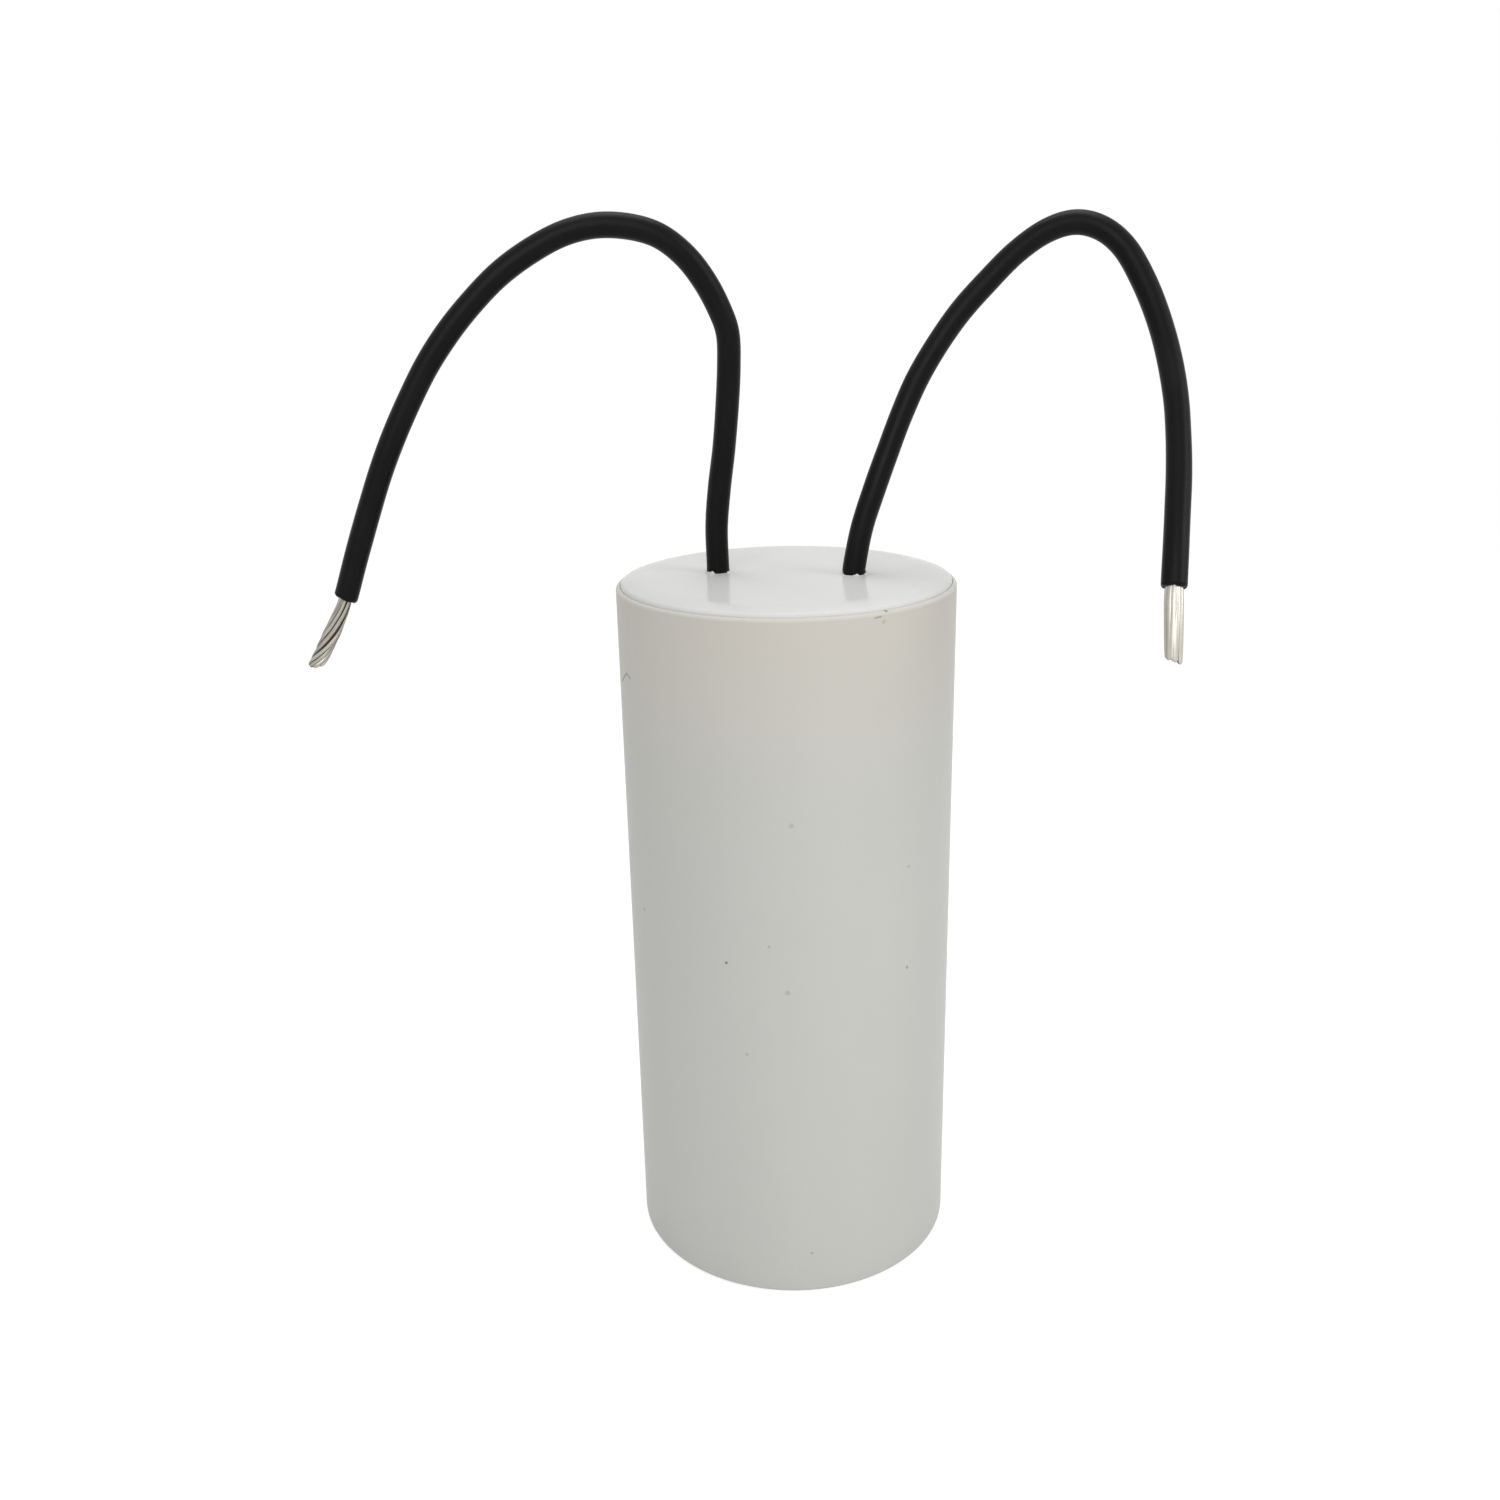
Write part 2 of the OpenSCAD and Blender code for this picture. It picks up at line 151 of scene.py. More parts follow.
class LeadSettings(bpy.types.PropertyGroup):
    """Sizes and colours of the leads and of their stripped ends."""

    radius: metres("Radius", "Outside radius of the insulation", 1.5 * MM)
    bore: metres("Bore", "Inside radius of the insulation", 1 * MM)
    wire_radius: metres("Wire radius", "Radius of the conductor inside it", 0.94 * MM)
    left_length: metres("Left length", "Left lead from the cover to its tip", 122.6 * MM)
    right_length: metres("Right length", "Right lead from the cover to its tip", 114.3 * MM)
    jacket_colour: tint("Jacket colour", "Black vinyl", (0.004, 0.004, 0.0045))
    tin_colour: tint("Tin colour", "Clean tinned strands", (0.60, 0.575, 0.52))
    # The tarnish colour also paints shade: the left stripped end takes far more of it, standing in for
    # strands that face away from the light.
    tarnish_and_shade_colour: tint("Dull colour", "Strands that have tarnished", (0.20, 0.175, 0.14))
    # Painted shade: this colour goes deep between strands and into the wire's flutes, where shade falls.
    groove_shade_colour: tint("Groove colour", "Tarnish between strands", (0.055, 0.036, 0.024))


class StudioSettings(bpy.types.PropertyGroup):
    """The camera and the light."""

    lens: FloatProperty(
        name="Lens", description="Focal length in millimetres on a 36 mm sensor", default=34.117, min=10
    )
    key_power: watts("Key power", "Power of the soft lamp at the right", 1.74)
    fill_power: watts("Fill power", "Power of the wide lamp at the front", 2.32)
    top_power: watts("Top power", "Power of the lamp overhead", 2.36)
    ambient: FloatProperty(
        name="Ambient", description="Strength of the light from all round", default=0.35, min=0
    )


class CapacitorSettings(bpy.types.PropertyGroup):
    """All settings of the capacitor."""

    can: PointerProperty(type=CanSettings)
    cover: PointerProperty(type=CoverSettings)
    lead: PointerProperty(type=LeadSettings)
    studio: PointerProperty(type=StudioSettings)


# ---- Surfaces ----


def unit(vectors):
    """Each vector divided by its own length."""
    return vectors / np.linalg.norm(vectors, axis=-1, keepdims=True)


def arc(centre, radius, start, end, steps=10):
    """Points of a circle in the outline plane: centre plus radius times (cosine, sine) of the angle, in
    degrees.
    """
    angle = np.radians(np.linspace(start, end, steps + 1))
    return np.asarray(centre) + radius * np.column_stack([np.cos(angle), np.sin(angle)])


def guarded(outline, guard=0.12 * MM):
    """Adds a point a short way in from each end of every long stretch, so that smooth shading stays on the
    corners.
    """
    outline = np.asarray(outline, float)
    step = np.diff(outline, axis=0)
    length = np.linalg.norm(step, axis=1)
    long = np.nonzero(length > 4 * guard)[0]
    inset = step[long] * (guard / length[long])[:, None]
    extra = np.stack([outline[long] + inset, outline[long + 1] - inset], axis=1).reshape(-1, 2)
    return np.insert(outline, np.repeat(long + 1, 2), extra, axis=0)


def turned(outline, steps):
    """A grid turned about Z: (radius times cosine, radius times sine, height) for each outline point and
    each angle.
    """
    angle = np.linspace(0, 2 * np.pi, steps + 1)
    radius, height = outline[:, :1], outline[:, 1:]
    return np.stack(
        [radius * np.cos(angle), radius * np.sin(angle), height + 0 * angle], axis=-1
    )


class Skin:
    """Grids gathered into one closed mesh. A face of a grid runs (i, k), (i, k+1), (i+1, k+1), (i+1, k)."""

    def __init__(self):
        self.points, self.faces, self.notes, self.count = [], [], [], 0

    def add(self, grid, **notes):
        """Adds one grid of shape (rows, columns, 3), or a stack of them, with values for its points by
        name.
        """
        stack = grid.reshape((-1,) + grid.shape[-3:])
        many, rows, columns = stack.shape[:3]
        index = self.count + np.arange(many * rows * columns).reshape(many, rows, columns)
        corners = [index[:, :-1, :-1], index[:, :-1, 1:], index[:, 1:, 1:], index[:, 1:, :-1]]
        self.points.append(stack.reshape(-1, 3))
        self.faces.append(np.stack(corners, axis=-1).reshape(-1, 4))
        self.notes.append(
            {name: np.reshape(value, (many * rows * columns, -1)) for name, value in notes.items()}
        )
        self.count += many * rows * columns
        return self

    def build(self, name, material, slot, sharp=40):
        """Joins points that coincide, drops closed-up faces, and makes the object, ridden and given its
        material.
        """
        points = np.concatenate(self.points)
        keys = np.round(points / JOIN).astype(np.int64)
        _, first, same = np.unique(keys, axis=0, return_index=True, return_inverse=True)
        faces = same.reshape(-1)[np.concatenate(self.faces)]
        repeated = faces == np.roll(faces, -1, axis=1)
        folds = repeated.sum(axis=1)
        quads = faces[folds == 0]
        triangles = faces[folds == 1][~repeated[folds == 1]].reshape(-1, 3)
        mesh = bpy.data.meshes.new(name)
        mesh.from_pydata(points[first].tolist(), [], quads.tolist() + triangles.tolist())
        for key in self.notes[0]:
            values = np.concatenate([n[key] for n in self.notes])[first]
            kind, field = ("FLOAT_VECTOR", "vector") if values.shape[1] == 3 else ("FLOAT", "value")
            mesh.attributes.new(key, kind, "POINT").data.foreach_set(field, values.ravel())
        mesh.shade_smooth()
        mesh.set_sharp_from_angle(angle=np.radians(sharp))
        mesh.materials.append(material)
        mesh.validate()
        made = bpy.data.objects.new(name, mesh)
        bpy.context.scene.collection.objects.link(made)
        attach(made, BODY)
        return made


class Route:
    """A smooth line through given points, asked for by the distance along it."""

    FINE = 24

    def __init__(self, stops):
        """Catmull-Rom: between two stops, the cubic whose slope at each stop is half the step from the
        stop before to the stop after.
        """
        stops = np.asarray(stops, float)
        p = np.vstack([2 * stops[0] - stops[1], stops, 2 * stops[-1] - stops[-2]])[:, None]
        t = (np.arange(self.FINE) / self.FINE)[None, :, None]
        a, b, c, d = p[:-3], p[1:-2], p[2:-1], p[3:]
        cubic = 0.5 * (
            2 * b + (c - a) * t + (2 * a - 5 * b + 4 * c - d) * t**2 + (3 * b - a - 3 * c + d) * t**3
        )
        self.line = np.vstack([cubic.reshape(-1, 3), stops[-1:]])
        steps = np.linalg.norm(np.diff(self.line, axis=0), axis=1)
        self.run = np.concatenate([[0], np.cumsum(steps)])
        self.stops = self.run[:: self.FINE]

    def at(self, distance):
        """Points at these distances."""
        return np.stack([np.interp(distance, self.run, self.line[:, k]) for k in range(3)], axis=-1)

    def square(self, distance, span=0.3 * MM):
        """Two directions square to the line: Y less its part along it, and the line's way crossed with
        that.
        """
        low = np.clip(distance - span, 0, self.run[-1] - span)
        ahead = unit(self.at(low + 2 * span) - self.at(low))
        side = unit(np.array([0.0, 1.0, 0.0]) - ahead[..., 1:2] * ahead)
        return side, np.cross(ahead, side)

    def tube(self, distance, radius, angle):
        """A grid round the line: the point at the distance plus radius times (cosine times side plus sine
        times the third direction).
        """
        side, third = self.square(distance)
        turn = np.cos(angle)[..., None] * side + np.sin(angle)[..., None] * third
        return self.at(distance) + radius[..., None] * turn


# ---- Wiring of materials ----


def place(tree, kind, inputs=None, **settings):
    """Adds a node, makes its settings, and feeds its inputs with sockets or plain values."""
    made = tree.nodes.new(kind)
    for name, value in settings.items():
        setattr(made, name, value)
    for name, value in (inputs or {}).items():
        if isinstance(value, bpy.types.NodeSocket):
            tree.links.new(value, made.inputs[name])
        else:
            made.inputs[name].default_value = value
    return made


def sums(tree, operation, *values, clamp=False):
    """A Math node's output."""
    return place(
        tree, "ShaderNodeMath", dict(enumerate(values)), operation=operation, use_clamp=clamp
    ).outputs[0]


def times(tree, first, second, **more):
    """One value times another."""
    return sums(tree, "MULTIPLY", first, second, **more)


def scaled(tree, value, factor, start):
    """The value times the factor, plus the start."""
    return sums(tree, "MULTIPLY_ADD", value, factor, start)


def vectors(tree, operation, *values, out=0):
    """A Vector Math node's output."""
    return place(tree, "ShaderNodeVectorMath", dict(enumerate(values)), operation=operation).outputs[out]


def colours(tree, factor, first, second, mode="MIX"):
    """The first colour turned towards the second by the factor."""
    first, second = (v if isinstance(v, bpy.types.NodeSocket) else (*v, 1.0) for v in (first, second))
    return place(
        tree, "ShaderNodeMix", {0: factor, 6: first, 7: second}, data_type="RGBA", blend_type=mode
    ).outputs[2]


def toned(tree, base, shade):
    """The colour times a shade near 1."""
    grey = place(tree, "ShaderNodeCombineColor", {0: shade, 1: shade, 2: shade}).outputs[0]
    return colours(tree, 1.0, base, grey, mode="MULTIPLY")


def ranged(tree, value, low, high, to_low=0.0, to_high=1.0):
    """The value carried smoothly from one range to another, and held at its ends."""
    ends = {0: value, 1: low, 2: high, 3: to_low, 4: to_high}
    return place(tree, "ShaderNodeMapRange", ends, interpolation_type="SMOOTHSTEP").outputs[0]


def lumps(tree, where, scale, detail=2.0, **more):
    """Smooth noise at a scale, which may come from a socket."""
    inputs = {"Vector": where, "Scale": scale, "Detail": detail, **more}
    return place(tree, "ShaderNodeTexNoise", inputs).outputs["Fac"]


def noise(tree, where, size, detail=2.0):
    """Smooth noise whose lumps are about this many metres across."""
    return lumps(tree, where, 1 / size, detail)


def stretched(tree, where, across, around, up):
    """The coordinates scaled along X, Y and Z, so that a pattern on them is drawn out."""
    return vectors(tree, "MULTIPLY", where, (across, around, up))


def new_group(name, inputs, outputs):
    """A shader node group with named sockets. Gives its tree, its inputs by name and its output node."""
    tree = bpy.data.node_groups.new(name, "ShaderNodeTree")
    for title, kind in inputs.items():
        tree.interface.new_socket(title, in_out="INPUT", socket_type=kind)
    for title, kind in outputs.items():
        tree.interface.new_socket(title, in_out="OUTPUT", socket_type=kind)
    return tree, tree.nodes.new("NodeGroupInput").outputs, tree.nodes.new("NodeGroupOutput").inputs


def group(tree, name, inputs):
    """Places a finished group and gives its outputs."""
    return place(tree, "ShaderNodeGroup", inputs, node_tree=bpy.data.node_groups[name]).outputs


def object_place(tree):
    """The place on the object itself."""
    return tree.nodes.new("ShaderNodeTexCoord").outputs["Object"]


def carried_place(tree, name):
    """A value kept on the mesh's own points."""
    return place(tree, "ShaderNodeAttribute", attribute_name=name, attribute_type="GEOMETRY")


def shaded(name, **constants):
    """A new material with one Principled shader whose constants are set on its own sockets."""
    material = bpy.data.materials.new(name)
    material.use_nodes = True
    tree = material.node_tree
    shader = tree.nodes["Principled BSDF"]
    for title, value in constants.items():
        shader.inputs[title.replace("_", " ")].default_value = value
    return material, tree, shader


def feed(tree, shader, base, rough, height, depth):
    """Gives the shader a colour, a roughness, and a normal from a height of 0 to 1 over this depth."""
    bump = place(tree, "ShaderNodeBump", {"Height": height, "Distance": depth, "Strength": 1.0})
    for title, source in (("Base Color", base), ("Roughness", rough), ("Normal", bump.outputs["Normal"])):
        tree.links.new(source, shader.inputs[title])


def make_groups():
    """The effects that several finishes share."""
    number, vector = "NodeSocketFloat", "NodeSocketVector"

    tree, given, out = new_group(
        "Moulded skin",
        {"Place": vector, "Flow": number, "Grain": number},
        {"Height": number, "Tone": number},
    )
    slow = lumps(tree, given["Place"], given["Flow"], 1.0)
    fine = lumps(tree, given["Place"], given["Grain"], 3.0)
    tree.links.new(scaled(tree, fine, 0.12, times(tree, slow, 0.88)), out["Height"])
    tree.links.new(scaled(tree, fine, 0.4, times(tree, slow, 0.6)), out["Tone"])

    tree, given, out = new_group(
        "Speck", {"Place": vector, "Centre": vector, "Radius": number}, {"Mask": number}
    )
    ragged = lumps(tree, given["Place"], 4200.0)
    reach = vectors(tree, "DISTANCE", given["Place"], given["Centre"], out=1)
    share = sums(tree, "DIVIDE", reach, given["Radius"])
    share = sums(tree, "ADD", share, sums(tree, "SUBTRACT", ragged, 0.5))
    tree.links.new(ranged(tree, share, 0.55, 1.1, 1.0, 0.0), out["Mask"])

    tree, given, out = new_group(
        "Scratch",
        {"Place": vector, "Start": vector, "End": vector, "Width": number},
        {"Mask": number},
    )
    from_start = vectors(tree, "SUBTRACT", given["Place"], given["Start"])
    whole = vectors(tree, "SUBTRACT", given["End"], given["Start"])
    along = sums(
        tree, "DIVIDE",
        vectors(tree, "DOT_PRODUCT", from_start, whole, out=1),
        vectors(tree, "DOT_PRODUCT", whole, whole, out=1),
        clamp=True,
    )  # fmt: skip
    nearest = place(tree, "ShaderNodeVectorMath", {0: whole, "Scale": along}, operation="SCALE").outputs[0]
    off = vectors(tree, "DISTANCE", from_start, nearest, out=1)
    tree.links.new(ranged(tree, sums(tree, "DIVIDE", off, given["Width"]), 0.3, 1.0, 1.0, 0.0), out["Mask"])

    tree, given, out = new_group(
        "Handling", {"Place": vector, "Size": number, "Share": number}, {"Mask": number}
    )
    streaks = lumps(tree, given["Place"], given["Size"], 4.0, Roughness=0.62, Distortion=0.6)
    patches = lumps(tree, given["Place"], times(tree, given["Size"], 0.09))
    edge = sums(tree, "SUBTRACT", 1.0, given["Share"])
    streaks = ranged(tree, streaks, edge, sums(tree, "ADD", edge, 0.05))
    patches = ranged(tree, patches, 0.5, 0.68)
    tree.links.new(times(tree, streaks, patches), out["Mask"])

    tree, given, out = new_group(
        "Metal grain", {"Place": vector, "Size": number}, {"Height": number, "Tone": number}
    )
    grains = place(tree, "ShaderNodeTexVoronoi", {"Vector": given["Place"], "Scale": given["Size"]})
    clouds = lumps(tree, given["Place"], times(tree, given["Size"], 0.3), 4.0)
    tree.links.new(grains.outputs["Distance"], out["Height"])
    tree.links.new(clouds, out["Tone"])


# ---- Finishes ----

# Specks on the can: place in millimetres, radius in millimetres, darkness.
SPECKS = [
    ((-5.2, -21.9, 50.2), 0.24, 0.85), ((2.8, -22.3, 46.6), 0.42, 0.28), ((3.5, -22.2, 69.7), 0.42, 0.24),
    ((0.5, -22.5, 53.1), 0.22, 0.35), ((17.6, -14.0, 47.0), 0.26, 0.55), ((-2.7, -22.3, 37.2), 0.24, 0.3),
    ((-17.9, -13.7, 53.3), 0.3, 0.4), ((5.7, -21.8, 6.4), 0.24, 0.4), ((17.6, -14.0, 61.5), 0.28, 0.3),
    ((14.45, -16.75, 95.72), 0.27, 0.85), ((14.28, -17.38, 94.55), 0.3, 0.22),
]  # fmt: skip
# Scratches on the can: both ends in millimetres, width in millimetres, darkness.
SCRATCHES = [
    ((-20.48, -9.32, 84.0), (-19.3, -11.57, 85.7), 0.17, 0.8),
    ((-19.3, -11.57, 85.7), (-18.44, -12.89, 85.38), 0.15, 0.7),
    ((13.3, -18.1, 95.16), (13.95, -17.62, 95.26), 0.15, 0.6),
]


def marks(tree, where):
    """The can's specks and scratches as one mask, the darkest mark winning."""
    mask = 0.0
    for centre, radius, dark in SPECKS:
        spot = group(tree, "Speck", {"Place": where, "Centre": Vector(centre) * MM, "Radius": radius * MM})
        mask = sums(tree, "MAXIMUM", mask, times(tree, spot["Mask"], dark))
    for start, end, width, dark in SCRATCHES:
        line = group(
            tree, "Scratch",
            {"Place": where, "Start": Vector(start) * MM, "End": Vector(end) * MM, "Width": width * MM}
        )
        mask = sums(tree, "MAXIMUM", mask, times(tree, line["Mask"], dark))
    return mask


def can_plastic(can):
    """Satin white polypropylene with a painted light tint, warmer towards the cover and cooler towards the
    foot; with faint flow, specks and scratches.
    """
    material, tree, shader = shaded("can_plastic", Specular_IOR_Level=0.09)
    where = object_place(tree)
    skin = group(tree, "Moulded skin", {"Place": where, "Flow": 70.0, "Grain": 1600.0})
    drawn = noise(tree, stretched(tree, where, 1.0, 1.0, 0.06), 5 * MM, detail=3.0)
    height = place(tree, "ShaderNodeSeparateXYZ", {0: where}).outputs["Z"]
    # Painted light tint: the colour turns from the cooler white to the warm white towards the cover.
    light_tint_blend = ranged(tree, height, 0.68 * can.height, can.height)
    base = colours(tree, light_tint_blend, can.lower_light_tint_colour, can.upper_light_tint_colour)
    shade = scaled(tree, skin["Tone"], 0.05, 0.975)
    shade = scaled(tree, drawn, 0.03, sums(tree, "SUBTRACT", shade, 0.015))
    base = toned(tree, base, shade)
    mask = marks(tree, where)
    scuff = group(
        tree, "Handling", {"Place": stretched(tree, where, 1.0, 1.0, 0.5), "Size": 420.0, "Share": 0.36}
    )["Mask"]
    base = colours(tree, mask, base, can.mark_colour)
    rough = scaled(tree, skin["Tone"], 0.08, 0.34)
    rough = scaled(tree, scuff, 0.16, rough)
    relief = sums(tree, "SUBTRACT", skin["Height"], times(tree, mask, 0.5))
    relief = sums(tree, "SUBTRACT", relief, times(tree, scuff, 0.06))
    feed(tree, shader, base, rough, relief, 0.05 * MM)
    return material


def cover_plastic(cover):
    """Glossy white moulded plastic with faint flow lines and a few hairlines."""
    material, tree, shader = shaded("cover_plastic", Specular_IOR_Level=0.035)
    where = object_place(tree)
    skin = group(tree, "Moulded skin", {"Place": where, "Flow": 110.0, "Grain": 2400.0})
    scuff = group(
        tree, "Handling", {"Place": stretched(tree, where, 0.3, 1.0, 1.0), "Size": 700.0, "Share": 0.37}
    )["Mask"]
    shade = scaled(tree, skin["Tone"], 0.03, 0.985)
    base = toned(tree, cover.colour, shade)
    rough = scaled(tree, scuff, 0.15, scaled(tree, skin["Tone"], 0.05, 0.14))
    relief = sums(tree, "SUBTRACT", skin["Height"], times(tree, scuff, 0.05))
    feed(tree, shader, base, rough, relief, 0.02 * MM)
    return material


def jacket_vinyl(lead):
    """Black satin vinyl: fine lines along the lead from the extruder, and a dusty bloom in patches."""
    material, tree, shader = shaded("jacket_vinyl", Specular_IOR_Level=0.09)
    where = carried_place(tree, "straight").outputs["Vector"]
    lines = noise(tree, stretched(tree, where, 1.0, 1.0, 0.02), 0.25 * MM, detail=3.0)
    pits = noise(tree, where, 0.3 * MM, detail=2.0)
    bloom = ranged(
        tree, noise(tree, stretched(tree, where, 1.0, 1.0, 0.35), 3.5 * MM, detail=4.0), 0.45, 0.75
    )
    base = colours(tree, times(tree, bloom, 0.55), lead.jacket_colour, (0.009, 0.0092, 0.0098))
    rough = scaled(tree, bloom, 0.12, scaled(tree, pits, 0.1, 0.33))
    relief = scaled(tree, lines, 0.55, times(tree, pits, 0.45))
    feed(tree, shader, base, rough, relief, 0.02 * MM)
    return material


def tinned_copper(lead):
    """Tinned strands: bright or tarnished by the strand, drawn along it, and darkened deep between strands
    with painted shade.
    """
    material, tree, shader = shaded("tinned_copper", Metallic=0.9)
    where = carried_place(tree, "straight").outputs["Vector"]
    ridge = carried_place(tree, "ridge").outputs["Fac"]
    tone = carried_place(tree, "tone").outputs["Fac"]
    drawn = noise(tree, stretched(tree, where, 1.0, 1.0, 0.04), 0.16 * MM, detail=3.0)
    cloud = noise(tree, stretched(tree, where, 1.0, 1.0, 0.3), 0.8 * MM, detail=2.0)
    # Painted shade: where the ridge is low, deep between strands, the colour turns to the groove shade.
    lit = scaled(tree, sums(tree, "SUBTRACT", cloud, 0.5), 0.5, ridge)
    out_of_shade = ranged(tree, lit, 0.0, 0.5)
    worn = ranged(tree, sums(tree, "ADD", drawn, times(tree, cloud, 0.8)), 0.6, 1.2, 0.45, 1.0)
    # Tarnish darkens strands by their tone. On the left end much of this is painted shade.
    metal = colours(tree, times(tree, tone, worn, clamp=True), lead.tin_colour, lead.tarnish_and_shade_colour)
    base = colours(tree, out_of_shade, lead.groove_shade_colour, metal)
    rough = scaled(tree, sums(tree, "SUBTRACT", 1.0, out_of_shade), 0.2, scaled(tree, drawn, 0.1, 0.34))
    feed(tree, shader, base, rough, drawn, 0.012 * MM)
    return material


def film_roll():
    """Metallised film wound tight: silver, with the edges of turns as fine rings along the roll."""
    material, tree, shader = shaded("film_roll", Metallic=0.85)
    where = object_place(tree)
    rings = noise(tree, stretched(tree, where, 0.02, 0.02, 1.0), 0.6 * MM, detail=4.0)
    wraps = noise(tree, stretched(tree, where, 1.0, 1.0, 0.15), 9 * MM, detail=2.0)
    base = colours(tree, ranged(tree, rings, 0.3, 0.7), (0.60, 0.61, 0.64), (0.82, 0.83, 0.85))
    rough = scaled(tree, rings, 0.25, scaled(tree, wraps, 0.15, 0.12))
    feed(tree, shader, base, rough, sums(tree, "ADD", rings, wraps), 0.03 * MM)
    return material


def core_plastic():
    """The winding tube's natural plastic."""
    material, tree, shader = shaded("core_plastic", Specular_IOR_Level=0.4)
    skin = group(tree, "Moulded skin", {"Place": object_place(tree), "Flow": 160.0, "Grain": 2500.0})
    base = colours(tree, skin["Tone"], (0.70, 0.69, 0.64), (0.80, 0.79, 0.75))
    rough = scaled(tree, skin["Tone"], 0.15, 0.4)
    feed(tree, shader, base, rough, skin["Height"], 0.03 * MM)
    return material


def metal_coat(name, size, dark, light, rough, depth):
    """Sprayed zinc or solder: grains of this size in metres, with clouded tone."""
    material, tree, shader = shaded(name, Metallic=1.0)
    grain = group(tree, "Metal grain", {"Place": object_place(tree), "Size": 1 / size})
    base = colours(tree, grain["Tone"], dark, light)
    spread = scaled(tree, grain["Tone"], 0.25, rough)
    feed(tree, shader, base, spread, grain["Height"], depth)
    return material


def casting_resin():
    """Amber casting resin with clouds of filler and small trapped bubbles."""
    material, tree, shader = shaded("casting_resin", Specular_IOR_Level=0.5)
    where = object_place(tree)
    clouds = noise(tree, where, 8 * MM, detail=4.0)
    cells = place(tree, "ShaderNodeTexVoronoi", {"Vector": where, "Scale": 700.0}).outputs["Distance"]
    bubbles = ranged(tree, cells, 0.06, 0.2, 1.0, 0.0)
    base = colours(tree, clouds, (0.30, 0.20, 0.085), (0.46, 0.34, 0.17))
    base = colours(tree, times(tree, bubbles, 0.5), base, (0.62, 0.52, 0.34))
    rough = scaled(tree, clouds, 0.2, 0.2)
    feed(tree, shader, base, rough, bubbles, 0.06 * MM)
    return material


# ---- The leads ----


def route_stops(run, bare, exit_place, buried):
    """All stops of one conductor in metres: its buried part, and its run above the cover to the tip."""
    return np.vstack([np.array(buried) * MM, np.array(run + bare) * MM + exit_place])


def left_route():
    """The left conductor stands on the upper sprayed end and goes straight up to its hole."""
    exit_place = np.array([-HOLE_X * MM, 0.0, COVER_HIGH.z])
    buried = [[-HOLE_X, 0, z] for z in LEFT_Z + HOLE_Z]
    return exit_place, Route(route_stops(LEFT_RUN, LEFT_BARE, exit_place, buried)), buried


def right_route():
    """The right conductor lies under the roll, goes up its tube, and swings to its hole on half a cosine.
    """
    exit_place = np.array([HOLE_X * MM, 0.0, COVER_HIGH.z])
    turn = np.radians(np.arange(0, 91, 30))
    under = [[x, 0, UNDER_Z] for x in UNDER_X]
    bend = [[BEND_R * (1 - np.sin(a)), 0, UNDER_Z + BEND_R * (1 - np.cos(a))] for a in turn]
    stand = [[0, 0, z] for z in TUBE_Z]
    swing = [
        [HOLE_X * (1 - np.cos(np.pi * t)) / 2, 0, SWING_Z + SWING_RISE * t] for t in np.linspace(0, 1, 7)
    ]
    buried = under + bend + stand + swing + [[HOLE_X, 0, z] for z in HOLE_Z]
    return exit_place, Route(route_stops(RIGHT_RUN, RIGHT_BARE, exit_place, buried)), buried


# A jacket's step along its line, and the rounding at its cut end.
JACKET_STEP, JACKET_LIP = 0.45 * MM, 0.42 * MM


def jacket_loop(start, end, radius, bore, step, lip):
    """The closed outline of a jacket along its line, as distances and radii: outer wall, rounded lip, cut
    face, bore.
    """
    outer = np.arange(start, end - lip - 0.2 * MM, step)
    round_off = np.radians(np.linspace(0, 90, 7))
    lip_s, lip_r = end - lip + lip * np.sin(round_off), radius - lip + lip * np.cos(round_off)
    inner = np.arange(end - 0.4 * MM, start, -2 * step)
    distance = np.concatenate(
        [outer, [end - lip - 0.1 * MM], lip_s, [end, end - 0.1 * MM], inner, [start, start]]
    )
    radii = np.concatenate([
        np.full(len(outer) + 1, radius), lip_r, [bore + 0.08 * MM, bore],
        np.full(len(inner) + 1, bore), [radius],
    ])  # fmt: skip
    return distance, radii


def jacket(name, route, start, end, lead, tilt, material):
    """A hollow jacket: its outline carried along the line, with a slanting and wavy cut at its end."""
    distance, radii = jacket_loop(start, end, lead.radius, lead.bore, JACKET_STEP, JACKET_LIP)
    angle = np.linspace(0, 2 * np.pi, 41)
    near_cut = np.clip(1 - (end - distance) / (1.5 * MM), 0, 1)[:, None] ** 2
    wave = tilt * np.cos(angle - 0.7) + 0.035 * MM * np.sin(5 * angle + 1) + 0.02 * MM * np.sin(9 * angle)
    shifted = distance[:, None] + near_cut * wave
    swell = 0.008 * np.sin(shifted / (2.1 * MM)) * np.cos(2 * angle)
    swell = 1 + swell + 0.006 * np.sin(shifted / (5.3 * MM) + 1)
    radius = radii[:, None] * np.where(radii[:, None] > 0.9 * lead.radius, swell, 1)
    turn = np.broadcast_to(angle, shifted.shape)
    straight = np.stack([radius * np.cos(turn), radius * np.sin(turn), shifted], axis=-1)
    grid = route.tube(shifted, radius, turn)
    return Skin().add(grid, straight=straight).build(name, material, "lead_insulation", sharp=60)


